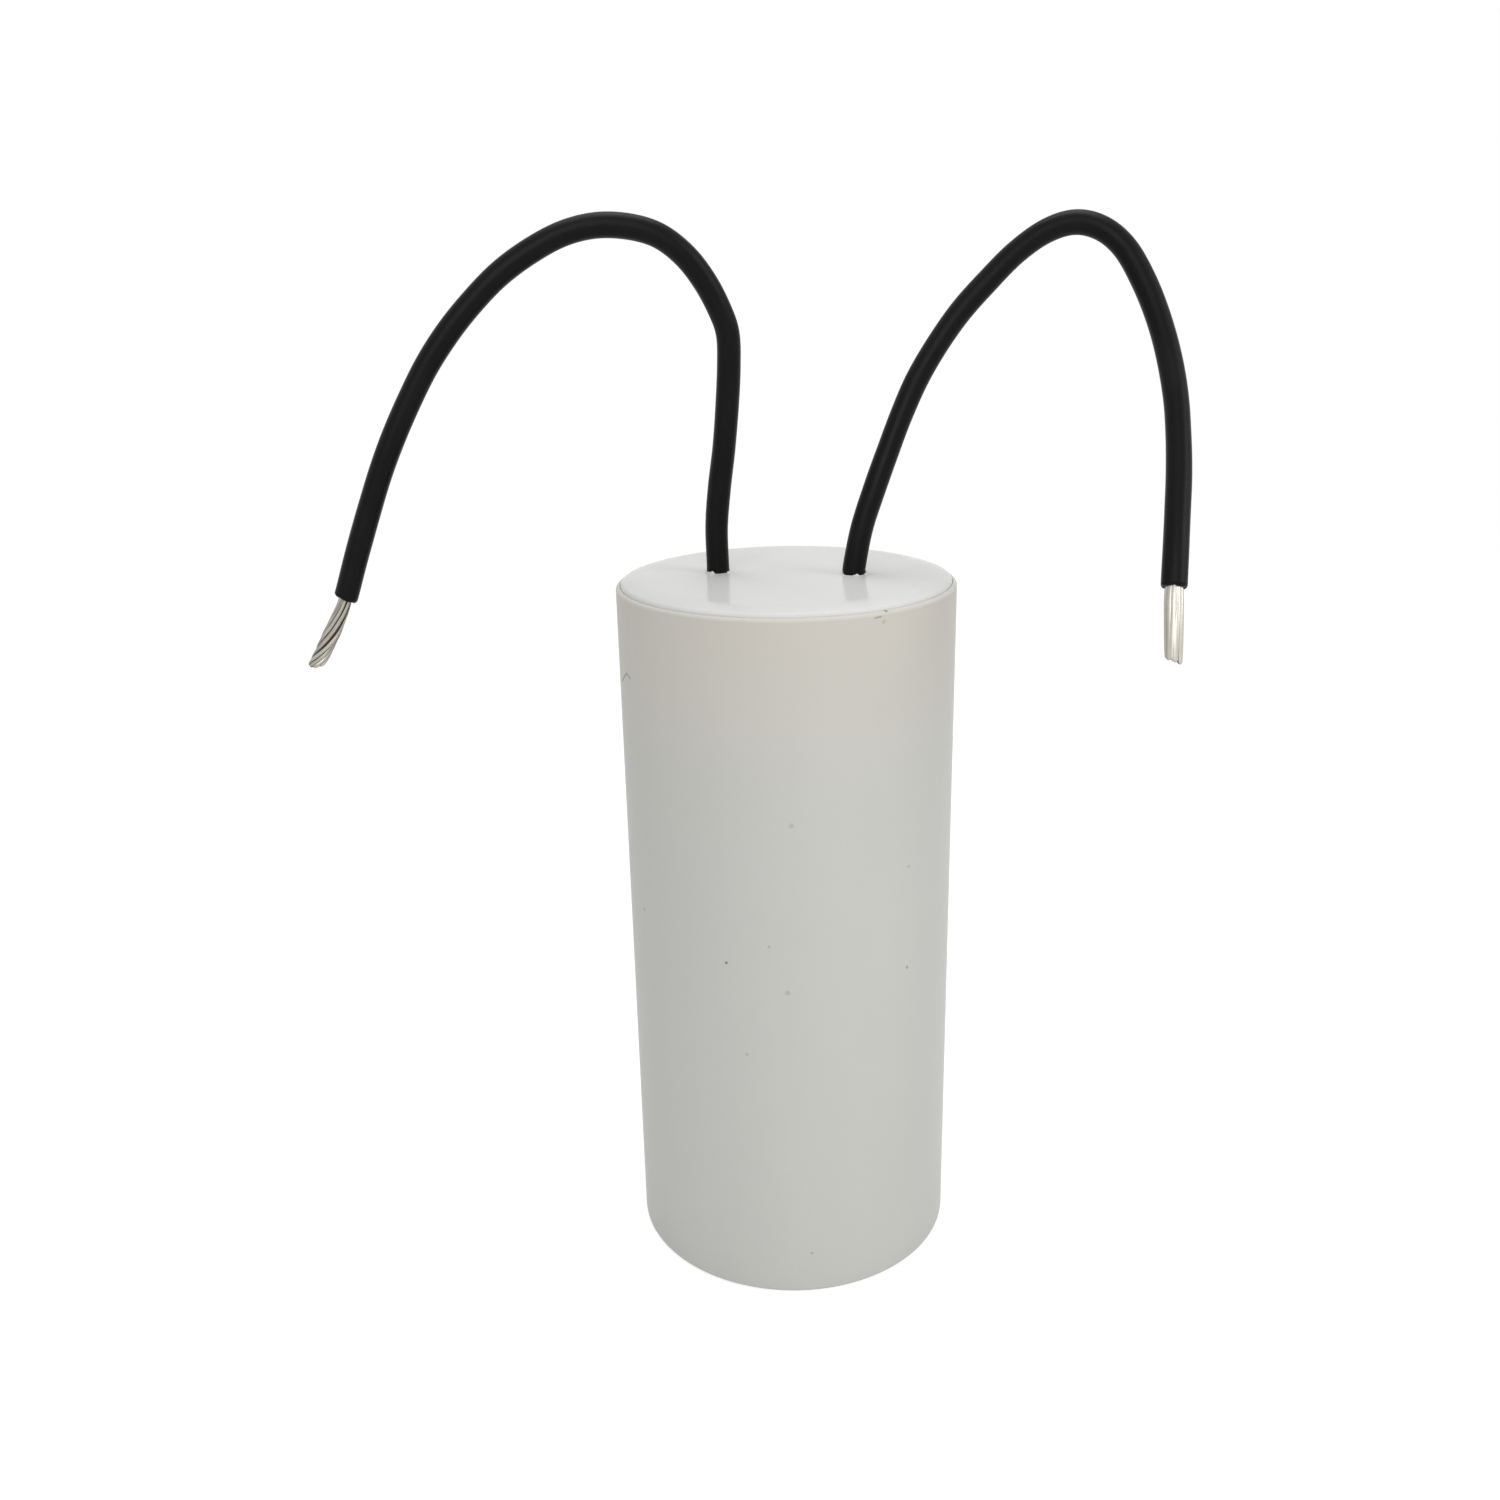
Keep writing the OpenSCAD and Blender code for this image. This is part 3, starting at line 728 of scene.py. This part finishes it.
# The two stripped ends. Radii and slant are in millimetres, twists in radians a metre at root and tip. The
# ridge's power sets how far the painted shade between strands reaches.
# Each end's tarnish range is partly painted shade: the left end's high range darkens its strands as if in
# shade. Within a range the tone differs at random strand by strand.
LEFT_END = dict(
    neck=0.78, widest=1.05, tip=1.08, place=0.65, twist=(120, 700), slant=0.45, corner=0.75,
    outer=9, thick=0.27, press=1.02, uneven=0.11, out_of_shade=1.6, tarnish_and_shade=(0.45, 1.0), notch=0.0, seed=5,
)  # fmt: skip
RIGHT_END = dict(
    neck=0.95, widest=1.15, tip=0.97, place=0.35, twist=(30, 70), slant=0.6, corner=0.1,
    outer=11, thick=0.2, press=1.75, uneven=0.06, out_of_shade=0.7, tarnish_and_shade=(0.1, 0.4), notch=0.4, seed=11,
)  # fmt: skip


def bundle_radius(end, share):
    """The bundle's radius: a quarter sine up to its widest place, then a parabola down to the tip."""
    first = np.sin(np.pi / 2 * np.clip(share / end["place"], 0, 1))
    rest = np.clip((share - end["place"]) / (1 - end["place"]), 0, 1) ** 2
    size = end["neck"] + (end["widest"] - end["neck"]) * first + (end["tip"] - end["widest"]) * rest
    return size * MM


def strand_skin(route, start, length, end):
    """A centre strand, a ring of five and an outer ring, and a core that fills the gaps between them with
    painted shade.

    A strand's centre is the line's point plus its ring's share of the bundle's radius, at its own angle
    plus a twist that grows along the end. Round that centre lies an oval, wider round the bundle than
    across it, so that neighbours are pressed together.
    """
    chance = np.random.default_rng(end["seed"])
    outer = end["outer"]
    ring = np.repeat([0.0, 0.42, 1 - end["thick"]], [1, 5, outer])
    size = np.repeat([0.2, 0.21, end["thick"]], [1, 5, outer])
    angle = np.concatenate([[0], np.arange(5) * 0.4 * np.pi, (np.arange(outer) + 0.5) * 2 * np.pi / outer])
    many, rows = len(ring), 72
    angle = angle + chance.normal(0, end["uneven"], many)
    ring = ring * (1 + chance.normal(0, 0.012, many))
    # The cut leaves the right side longest, the left corner rounded and the inner strands a little short.
    right = np.sin(angle)
    reach = length + MM * (end["slant"] * (right - 1) / 2 - end["corner"] * np.clip(-right, 0, 1) ** 2)
    reach = reach + chance.uniform(-0.06, 0.04, many) * MM - np.where(ring < 0.6, 0.22 * MM, 0)
    reach = reach - end["notch"] * MM * np.exp(-(((angle - 2.95) / 0.3) ** 2))
    along = np.linspace(0, 1, rows)[None] * reach[:, None]
    body = bundle_radius(end, along / length)
    slow, fast = end["twist"]
    twist = slow * along + (fast - slow) * along**3 / (3 * length**2)
    sway = chance.uniform(0, 6.28, (many, 1))
    spin = angle[:, None] + twist + 0.05 * np.sin(along / (2.3 * MM) + sway)
    offset = body * (ring[:, None] + 0.02 * np.sin(along / (1.9 * MM) + 2 * sway))
    centre = route.tube(start + along, offset, spin)
    ahead = unit(np.gradient(centre, axis=1))
    middle = route.at(start + along)
    outward = centre - middle + 1e-7 * np.array([0.3, 1, 0.2])
    outward = unit(outward - np.sum(outward * ahead, axis=-1, keepdims=True) * ahead)
    across = np.cross(ahead, outward)
    thick = body * (size * (1 + chance.normal(0, 0.03, many)))[:, None]
    sides = np.linspace(0, 2 * np.pi, 17)
    shrink = np.ones(rows)
    shrink[0], shrink[-3:] = 0, (0.96, 0.76, 0)
    oval = (
        np.cos(sides)[:, None] * outward[:, :, None] * thick[..., None, None]
        + np.sin(sides)[:, None] * across[:, :, None] * end["press"] * thick[..., None, None]
    )
    # The grid runs along the strand by rows and round it by columns.
    grid = centre[:, :, None] + oval * shrink[:, None, None]
    depth = np.linalg.norm(grid - middle[:, :, None], axis=-1) / body[..., None]
    # The ridge is 1 on the bundle's outside and falls to 0 deep between strands, where the finish paints
    # shade.
    groove = 1 - end["thick"] * 0.62
    ridge = np.clip((depth - groove) / (0.98 - groove), 0, 1) ** end["out_of_shade"]
    label = np.arange(many)[:, None, None] * 3 * MM
    straight = np.stack(np.broadcast_arrays(
        0.3 * MM * np.cos(sides) + label, 0.3 * MM * np.sin(sides) + label, along[..., None],
    ), axis=-1)  # fmt: skip
    # Each strand's tone is drawn at random within its end's range. On the left end that range is partly
    # painted shade.
    tone = np.broadcast_to(chance.uniform(*end["tarnish_and_shade"], (many, 1, 1)), depth.shape)
    skin = Skin().add(grid, ridge=ridge, tone=tone, straight=straight)

    # The core is a dark filler put where there is only shade between strands. With ridge 0 it takes the
    # painted groove shade.
    share = np.linspace(0, 1, rows)
    along = share * (length - (0.3 + end["slant"] + end["corner"]) * MM)
    body = 0.8 * bundle_radius(end, along / length) * np.where((share == 0) | (share == 1), 0, 1)
    turn = np.linspace(0, 2 * np.pi, 25)
    along, turn = np.broadcast_arrays(along[:, None], turn)
    core = route.tube(start + along, np.broadcast_to(body[:, None], along.shape), turn)
    flat = np.stack([0 * along, 0 * along, along], axis=-1)
    return skin.add(core, ridge=np.zeros(along.shape), tone=np.full(along.shape, 0.5), straight=flat)


def wire_inside(name, route, end, lead, material):
    """The conductor inside the jacket: a wire fluted by twelve outer strands, closed at both ends."""
    distance = np.concatenate([[0.0], np.linspace(0, end, int(end / (0.8 * MM))), [end]])
    turn = np.linspace(0, 2 * np.pi, 49)
    flute = 1 - 0.09 * (1 - np.abs(np.cos(6 * turn)))
    radius = lead.wire_radius * flute * np.ones((len(distance), 1))
    radius[[0, -1]] = 0
    along, spin = np.broadcast_arrays(distance[:, None], turn + distance[:, None] * 2 * np.pi / (30 * MM))
    grid = route.tube(along, radius, spin)
    straight = np.stack([radius * np.cos(spin), radius * np.sin(spin), along], axis=-1)
    # The ridge is low in the flutes' valleys, where the finish paints shade.
    ridge = np.broadcast_to((flute - 0.91) / 0.09, along.shape)
    return Skin().add(
        grid, ridge=ridge, tone=np.full(along.shape, 0.4), straight=straight
    ).build(name, material, "tinned_strands")


# ---- Operators ----


class CAPACITOR_OT_camera(bpy.types.Operator):
    """Places the camera in front of the can, a little to its right and looking slightly down"""

    bl_idname = "capacitor.camera"
    bl_label = "Place the Camera"

    PLACE = (26.466 * MM, -184.044 * MM, 134.623 * MM)
    AZIMUTH, PITCH, ROLL = 9.79, 18.582, -1.2

    def execute(self, context):
        data = bpy.data.cameras.new("camera")
        data.lens = context.scene.capacitor.studio.lens
        data.sensor_width = 36.0
        data.clip_start, data.clip_end = 0.01, 20.0
        camera = bpy.data.objects.new("camera", data)
        context.scene.collection.objects.link(camera)
        turn = (
            Matrix.Rotation(np.radians(self.AZIMUTH), 4, "Z")
            @ Matrix.Rotation(np.radians(90 - self.PITCH), 4, "X")
            @ Matrix.Rotation(np.radians(self.ROLL), 4, "Z")
        )
        camera.matrix_world = Matrix.Translation(self.PLACE) @ turn
        context.scene.camera = camera
        return {"FINISHED"}


class CAPACITOR_OT_leads(bpy.types.Operator):
    """Makes both leads: jackets, the conductors inside them, and their stripped ends strand by strand"""

    bl_idname = "capacitor.leads"
    bl_label = "Make the Leads"

    # How far inside the jacket the strands start.
    ROOT_INSIDE = 1.2 * MM

    def execute(self, context):
        lead = context.scene.capacitor.lead
        vinyl, tin = jacket_vinyl(lead), tinned_copper(lead)
        for side, made, run, end, tilt, first_stop, length in (
            ("left", left_route(), LEFT_RUN, LEFT_END, 0.16 * MM, 1, lead.left_length),
            ("right", right_route(), RIGHT_RUN, RIGHT_END, 0.1 * MM, 6, lead.right_length),
        ):
            exit_place, route, buried = made
            # The jacket's two pieces meet just below the cover's collar.
            hole_in = route.stops[len(buried) - 3]
            cut = route.stops[len(buried) + len(run) - 1]
            insulation_start = route.stops[first_stop]
            tip = route.run[-1]
            root = cut - self.ROOT_INSIDE
            skin = strand_skin(route, root, tip - root, end)
            bare = skin.build(f"{side}_stripped_end", tin, "tinned_strands", sharp=75)
            outside = jacket(f"{side}_jacket", route, hole_in, cut, lead, tilt, vinyl)
            inside = jacket(f"{side}_jacket_inside", route, insulation_start, hole_in, lead, 0.0, vinyl)
            wire = wire_inside(f"{side}_wire_inside", route, root + 0.1 * MM, lead, tin)
            for piece in (outside, inside):
                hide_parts(f"{side}_lead_insulation")
            for piece in (bare, wire):
                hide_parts(f"{side}_lead_conductor")
            route.at(np.arange(hole_in, cut, MM))  # fmt: skip
        return {"FINISHED"}


class CAPACITOR_OT_can(bpy.types.Operator):
    """Makes the can from its turned outline, with the ribs on its floor"""

    bl_idname = "capacitor.can"
    bl_label = "Make the Can"

    LIP, SEAT_DEPTH, DRAFT, FILLET = 0.55 * MM, 2 * MM, 0.3 * MM, 1 * MM
    LIP_ROUND, FOOT_ROUND, FOOT_RING = 0.5 * MM, 0.6 * MM, 4.5 * MM
    RECESS, DIMPLE_R, DIMPLE_Z, STUB_R = 0.5 * MM, 2.5 * MM, 0.9 * MM, 0.7 * MM
    RIB_TOP, RIB_T, RIB_START, ELEMENT_R = 6 * MM, 1.2 * MM, 8 * MM, 18 * MM
    LUG_GAP, LUG_TOP, RELIEF_W, RELIEF_Z = 0.3 * MM, 10 * MM, 1 * MM, 0.3 * MM
    SINK, SINK_Z, SINK_SPREAD = 0.04 * MM, 6 * MM, 5 * MM

    def outline(self, can):
        """From the underside's middle out, up the wall, over the lip and down the bore to the floor."""
        r, h = can.radius, can.height
        seat = h - self.SEAT_DEPTH
        bore_top, bore_low = r - can.wall, r - can.wall - self.DRAFT
        ring = r - self.FOOT_RING
        return guarded(np.vstack([
            [[0, self.RECESS], [self.STUB_R, self.RECESS], [self.STUB_R, self.DIMPLE_Z],
             [self.DIMPLE_R, self.DIMPLE_Z], [self.DIMPLE_R, self.RECESS], [ring, self.RECESS],
             [ring + self.RECESS, 0]],
            arc([r - self.FOOT_ROUND, self.FOOT_ROUND], self.FOOT_ROUND, -90, 0),
            arc([r - self.LIP_ROUND, h - self.LIP_ROUND], self.LIP_ROUND, 0, 90),
            [[r - self.LIP, h], [r - self.LIP, seat], [bore_top, seat]],
            arc([bore_low - self.FILLET, can.floor + self.FILLET], self.FILLET, 0, -90),
            [[0, can.floor]],
        ]))  # fmt: skip

    def ribs(self, can):
        """Four ribs: an upright box carried outwards, its top following the seat and then the lug."""
        buried = can.radius - can.wall - self.DRAFT + 0.6 * MM
        lug, seat = self.ELEMENT_R + self.LUG_GAP, self.ELEMENT_R - self.RELIEF_W
        low = self.RIB_TOP - self.RELIEF_Z
        reach = np.array([self.RIB_START, self.RIB_START, seat, seat, lug, lug, buried, buried])
        top = np.array([0, self.RIB_TOP, self.RIB_TOP, low, low, self.LUG_TOP, self.LUG_TOP, 0])
        root = can.floor - 0.4 * MM
        top[[0, -1]] = root
        half = self.RIB_T / 2 * np.array([1, -1, -1, 1, 1])
        upper = np.array([0, 0, 1, 1, 0])
        height = root + upper * (top - root)[:, None]
        angle = np.radians([45, 135, 225, 315])[:, None, None]
        out = reach[:, None]
        return np.stack(
            [
                out * np.cos(angle) - half * np.sin(angle), out * np.sin(angle) + half * np.cos(angle),
                height + 0 * angle
            ],
            axis=-1,
        )

    def execute(self, context):
        can = context.scene.capacitor.can
        grid = turned(self.outline(can), can.steps)
        # The wall sinks very slightly outside each rib, where the plastic was thicker as it cooled.
        turn = np.arctan2(grid[..., 1], grid[..., 0])
        reach = np.hypot(grid[..., 0], grid[..., 1])
        outside = np.clip((reach - 0.98 * can.radius) / (0.01 * can.radius), 0, 1)
        fade = np.exp(-(((grid[..., 2] - self.SINK_Z) / self.SINK_SPREAD) ** 2))
        sink = self.SINK * fade * np.cos(2 * turn + np.pi / 2) ** 8 * outside
        grid[..., :2] *= (1 - sink / can.radius)[..., None]
        made = Skin().add(grid).add(self.ribs(can)).build("can", can_plastic(can), "case_plastic", sharp=30)
        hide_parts("case")
        return {"FINISHED"}


class CAPACITOR_OT_cover(bpy.types.Operator):
    """Makes the end cover with its two lead holes, and the ragged flash round each hole"""

    bl_idname = "capacitor.cover"
    bl_label = "Make the End Cover"

    SKIRT_R, SKIRT_T, SKIRT_Z, SEAT_Z = 20.18 * MM, 1.5 * MM, 88.8 * MM, 93.8 * MM
    COLLAR_T, COLLAR_Z = 1.4 * MM, 89.8 * MM
    HOLE_EDGE = 0.12 * MM
    FLASH_R = 1.515 * MM
    CHORD = 25

    def rim(self, radius, steps):
        """The edge of the right half of a disc: its half circle, and then the cut across its middle."""
        turn = np.linspace(-np.pi / 2, np.pi / 2, steps // 2 + 1)
        half = radius * np.column_stack([np.cos(turn), np.sin(turn)])
        cut = np.column_stack([np.zeros(self.CHORD), np.linspace(radius, -radius, self.CHORD + 2)[1:-1]])
        return np.vstack([half, cut, half[:1]])

    def face_radius(self, cover):
        """Where the flat of the face ends: the rim's radius less what the rounding and the fall take up."""
        lean = np.sin(cover.slope)
        return cover.radius - cover.shoulder * (1 - lean) - cover.crown * lean

    def half(self, cover, steps):
        """Half of the disc with its hole: rings that shrink from the edge to the hole, go down it and
        round its collar, and spread again below.
        """
        hole = np.array([cover.hole_place, 0.0])
        over = self.rim(self.face_radius(cover), steps)
        under = self.rim(self.SKIRT_R - self.SKIRT_T, steps)
        over_way, under_way = unit(over - hole), unit(under - hole)
        collar = cover.hole_radius + self.COLLAR_T
        low = cover.top - cover.thickness
        edge = self.HOLE_EDGE
        wide = hole + (cover.hole_radius + edge) * over_way
        rings = [
            (over, cover.top), (wide + 0.985 * (over - wide), cover.top),
            (wide + 0.08 * MM * over_way, cover.top), (wide, cover.top),
            (hole + (cover.hole_radius + 0.3 * edge) * over_way, cover.top - 0.3 * edge),
            (hole + cover.hole_radius * over_way, cover.top - edge),
            (hole + cover.hole_radius * over_way, self.COLLAR_Z),
            (hole + collar * under_way, self.COLLAR_Z),
            (hole + collar * under_way, low), (under, low),
        ]  # fmt: skip
        return np.stack([np.column_stack([ring, np.full(len(ring), z)]) for ring, z in rings])

    def flash(self, cover, side, seed, material):
        """Ragged flash: a low bead whose height and width follow sums of sines with seeded phases."""
        chance = np.random.default_rng(seed)
        turn = np.linspace(0, 2 * np.pi, 145)
        waves = np.array([2, 3, 5, 8, 13, 21])
        phase = chance.uniform(0, 2 * np.pi, (2, len(waves), 1))
        size = chance.uniform(0.4, 1, (2, len(waves), 1)) / np.sqrt(waves)[:, None]
        swell = np.sum(size * np.sin(waves[:, None] * turn + phase), axis=1)
        high = (0.05 + 0.21 * np.clip(swell[0] + 0.3, 0, 1.6)) * MM
        wide = (0.2 + 0.16 * np.clip(swell[1] + 0.5, 0, 1.6)) * MM
        across = np.array([0, 0, 0.25, 0.6, 1, 1])[:, None]
        up = np.array([-0.3, 0.85, 1, 0.55, 0.02, -0.3])[:, None]
        radius = self.FLASH_R + across * wide
        height = cover.top + np.where(up < 0, -0.05 * MM, up * high)
        place_x = side * cover.hole_place
        grid = np.stack(
            [place_x + radius * np.cos(turn), radius * np.sin(turn), height + 0 * turn], axis=-1
        )[::-1]
        grid = np.concatenate([grid, grid[:1]])
        name = "left_hole_flash" if side < 0 else "right_hole_flash"
        return Skin().add(grid).build(name, material, "cover_plastic", sharp=70)

    def execute(self, context):
        settings = context.scene.capacitor
        cover, steps = settings.cover, settings.can.steps
        top, r, inner = cover.top, cover.radius, self.SKIRT_R - self.SKIRT_T
        turn = 90 - np.degrees(cover.slope)
        edge = top - cover.crown * (1 - np.cos(cover.slope)) - cover.shoulder * np.cos(cover.slope)
        band = guarded(np.vstack([
            [[inner, top - cover.thickness], [inner, self.SKIRT_Z], [self.SKIRT_R, self.SKIRT_Z],
             [self.SKIRT_R, self.SEAT_Z], [r, self.SEAT_Z]],
            arc([r - cover.shoulder, edge], cover.shoulder, 0, turn, steps=12),
            arc([self.face_radius(cover), top - cover.crown], cover.crown, turn, 90, steps=14)[1:],
        ]))  # fmt: skip
        right = self.half(cover, steps)
        left = right[:, ::-1] * np.array([-1, 1, 1])
        material = cover_plastic(cover)
        made = Skin().add(turned(band, steps)).add(right).add(left).build(
            "cover", material, "cover_plastic", sharp=30
        )
        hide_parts("end_cover")
        self.flash(cover, -1, 3, material)
        self.flash(cover, 1, 8, material)
        return {"FINISHED"}


class CAPACITOR_OT_element(bpy.types.Operator):
    """Gives the pieces sealed inside the can their finishes"""

    bl_idname = "capacitor.element"
    bl_label = "Finish the Inside"

    def execute(self, context):
        zinc = metal_coat(
            "sprayed_zinc_coat", 0.35 * MM, (0.33, 0.34, 0.36), (0.58, 0.59, 0.61), 0.5, 0.12 * MM
        )
        solder = metal_coat(
            "solder_coat", 1.2 * MM, (0.60, 0.61, 0.63), (0.78, 0.79, 0.80), 0.16, 0.02 * MM
        )
        for finish, names in (
            (casting_resin(), ["potting_resin"]),
            (film_roll(), ["film_winding"]),
            (core_plastic(), ["winding_core"]),
            (zinc, ["top_end_spray", "bottom_end_spray"]),
            (solder, ["top_solder_joint", "bottom_solder_joint"]),
        ):
            for name in names:
                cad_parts[name].data.materials[0] = finish
        return {"FINISHED"}


class CAPACITOR_OT_stage(bpy.types.Operator):
    """Sets a pale floor, three soft lamps and an even white surround"""

    bl_idname = "capacitor.stage"
    bl_label = "Set the Stage"

    FLOOR_R = 0.6
    # How pale the floor is to the light, how pale it shows, and how much it glows where it shows.
    FLOOR_LIT, FLOOR_SHOWN, FLOOR_GLOW = 0.78, 0.42, 0.74
    LOOK_AT = (0, 0, 0.06)
    # Each lamp's place and the side of its square.
    LAMPS = {
        "key": ((0.62, -0.16, 0.42), 0.4),
        "fill": ((-0.02, -0.66, 0.40), 0.5),
        "top": ((-0.05, 0.12, 0.75), 0.45),
    }

    def seen_directly(self, tree):
        """1 for a ray from the camera, off gloss or through glass, and 0 for the light itself."""
        path = tree.nodes.new("ShaderNodeLightPath").outputs
        seen = sums(tree, "MAXIMUM", path["Is Glossy Ray"], path["Is Transmission Ray"])
        return sums(tree, "MAXIMUM", path["Is Camera Ray"], seen)

    def floor(self):
        """A flat disc. It looks white, and it keeps the shadow: part of what it shows is its own light,
        the rest is what falls on it.
        """
        material = bpy.data.materials.new("studio_floor")
        material.use_nodes = True
        tree = material.node_tree
        tree.nodes.clear()
        pale = place(tree, "ShaderNodeBsdfDiffuse", {"Color": (*[self.FLOOR_LIT] * 3, 1)}).outputs[0]
        faint = place(tree, "ShaderNodeBsdfDiffuse", {"Color": (*[self.FLOOR_SHOWN] * 3, 1)}).outputs[0]
        glow = place(
            tree, "ShaderNodeEmission", {"Color": (1, 1, 1, 1), "Strength": self.FLOOR_GLOW}
        ).outputs[0]
        shown = place(tree, "ShaderNodeAddShader", {0: faint, 1: glow}).outputs[0]
        both = place(
            tree, "ShaderNodeMixShader", {0: self.seen_directly(tree), 1: pale, 2: shown}
        ).outputs[0]
        place(tree, "ShaderNodeOutputMaterial", {"Surface": both})
        rings = np.array([0, 0.05, 0.15, 0.35, 1]) * self.FLOOR_R
        grid = turned(np.column_stack([rings, np.full(len(rings), -0.05 * MM)]), 64)[::-1]
        mesh = bpy.data.meshes.new("floor")
        rows, columns = grid.shape[:2]
        index = np.arange(rows * columns).reshape(rows, columns)
        faces = np.stack(
            [index[:-1, :-1], index[:-1, 1:], index[1:, 1:], index[1:, :-1]], axis=-1
        ).reshape(-1, 4)
        mesh.from_pydata(grid.reshape(-1, 3).tolist(), [], faces.tolist())
        mesh.materials.append(material)
        made = bpy.data.objects.new("floor", mesh)
        bpy.context.scene.collection.objects.link(made)

    def lamp(self, name, where, size, power):
        """A square soft lamp that faces the can's middle."""
        data = bpy.data.lights.new(name, "AREA")
        data.shape, data.size, data.energy = "SQUARE", size, power
        made = bpy.data.objects.new(name, data)
        bpy.context.scene.collection.objects.link(made)
        made.location = where
        made.rotation_mode = "QUATERNION"
        made.rotation_quaternion = (Vector(self.LOOK_AT) - Vector(where)).to_track_quat("-Z", "Y")
        made.visible_camera = False

    def surround(self, scene, ambient):
        """A white surround that lights the object at the ambient strength."""
        world = bpy.data.worlds.new("surround")
        world.use_nodes = True
        tree = world.node_tree
        tree.nodes.clear()
        light = place(tree, "ShaderNodeBackground", {"Color": (1, 1, 1, 1), "Strength": ambient}).outputs[0]
        white = place(tree, "ShaderNodeBackground", {"Color": (1, 1, 1, 1), "Strength": 1.0}).outputs[0]
        both = place(
            tree, "ShaderNodeMixShader", {0: self.seen_directly(tree), 1: light, 2: white}
        ).outputs[0]
        place(tree, "ShaderNodeOutputWorld", {"Surface": both})
        scene.world = world

    def execute(self, context):
        studio = context.scene.capacitor.studio
        self.floor()
        for name, (where, size) in self.LAMPS.items():
            self.lamp(f"{name}_lamp", where, size, getattr(studio, f"{name}_power"))
        self.surround(context.scene, studio.ambient)
        context.scene.view_settings.view_transform = "Standard"
        return {"FINISHED"}


class CAPACITOR_PT_panel(bpy.types.Panel):
    """Lists the capacitor's pieces and settings in the sidebar"""

    bl_idname = "CAPACITOR_PT_panel"
    bl_label = "Motor Run Capacitor"
    bl_space_type = "VIEW_3D"
    bl_region_type = "UI"
    bl_category = "Capacitor"

    def draw(self, context):
        settings = context.scene.capacitor
        for operator in OPERATORS:
            self.layout.operator(operator.bl_idname)
        for part in (settings.can, settings.cover, settings.lead, settings.studio):
            box = self.layout.box()
            for name in part.__annotations__:
                box.prop(part, name)


SETTINGS = (CanSettings, CoverSettings, LeadSettings, StudioSettings, CapacitorSettings)
OPERATORS = (
    CAPACITOR_OT_camera,
    CAPACITOR_OT_leads,
    CAPACITOR_OT_can,
    CAPACITOR_OT_cover,
    CAPACITOR_OT_element,
    CAPACITOR_OT_stage,
)


def register():
    for made in (*SETTINGS, *OPERATORS, CAPACITOR_PT_panel):
        bpy.utils.register_class(made)
    bpy.types.Scene.capacitor = PointerProperty(type=CapacitorSettings)


def unregister():
    del bpy.types.Scene.capacitor
    for made in reversed((*SETTINGS, *OPERATORS, CAPACITOR_PT_panel)):
        bpy.utils.unregister_class(made)


def main():
    """Makes everything in order."""
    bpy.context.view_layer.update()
    register()
    make_groups()
    for operator in OPERATORS:
        group_name, name = operator.bl_idname.split(".")
        getattr(getattr(bpy.ops, group_name), name)()


if __name__ == "__main__":
    main()
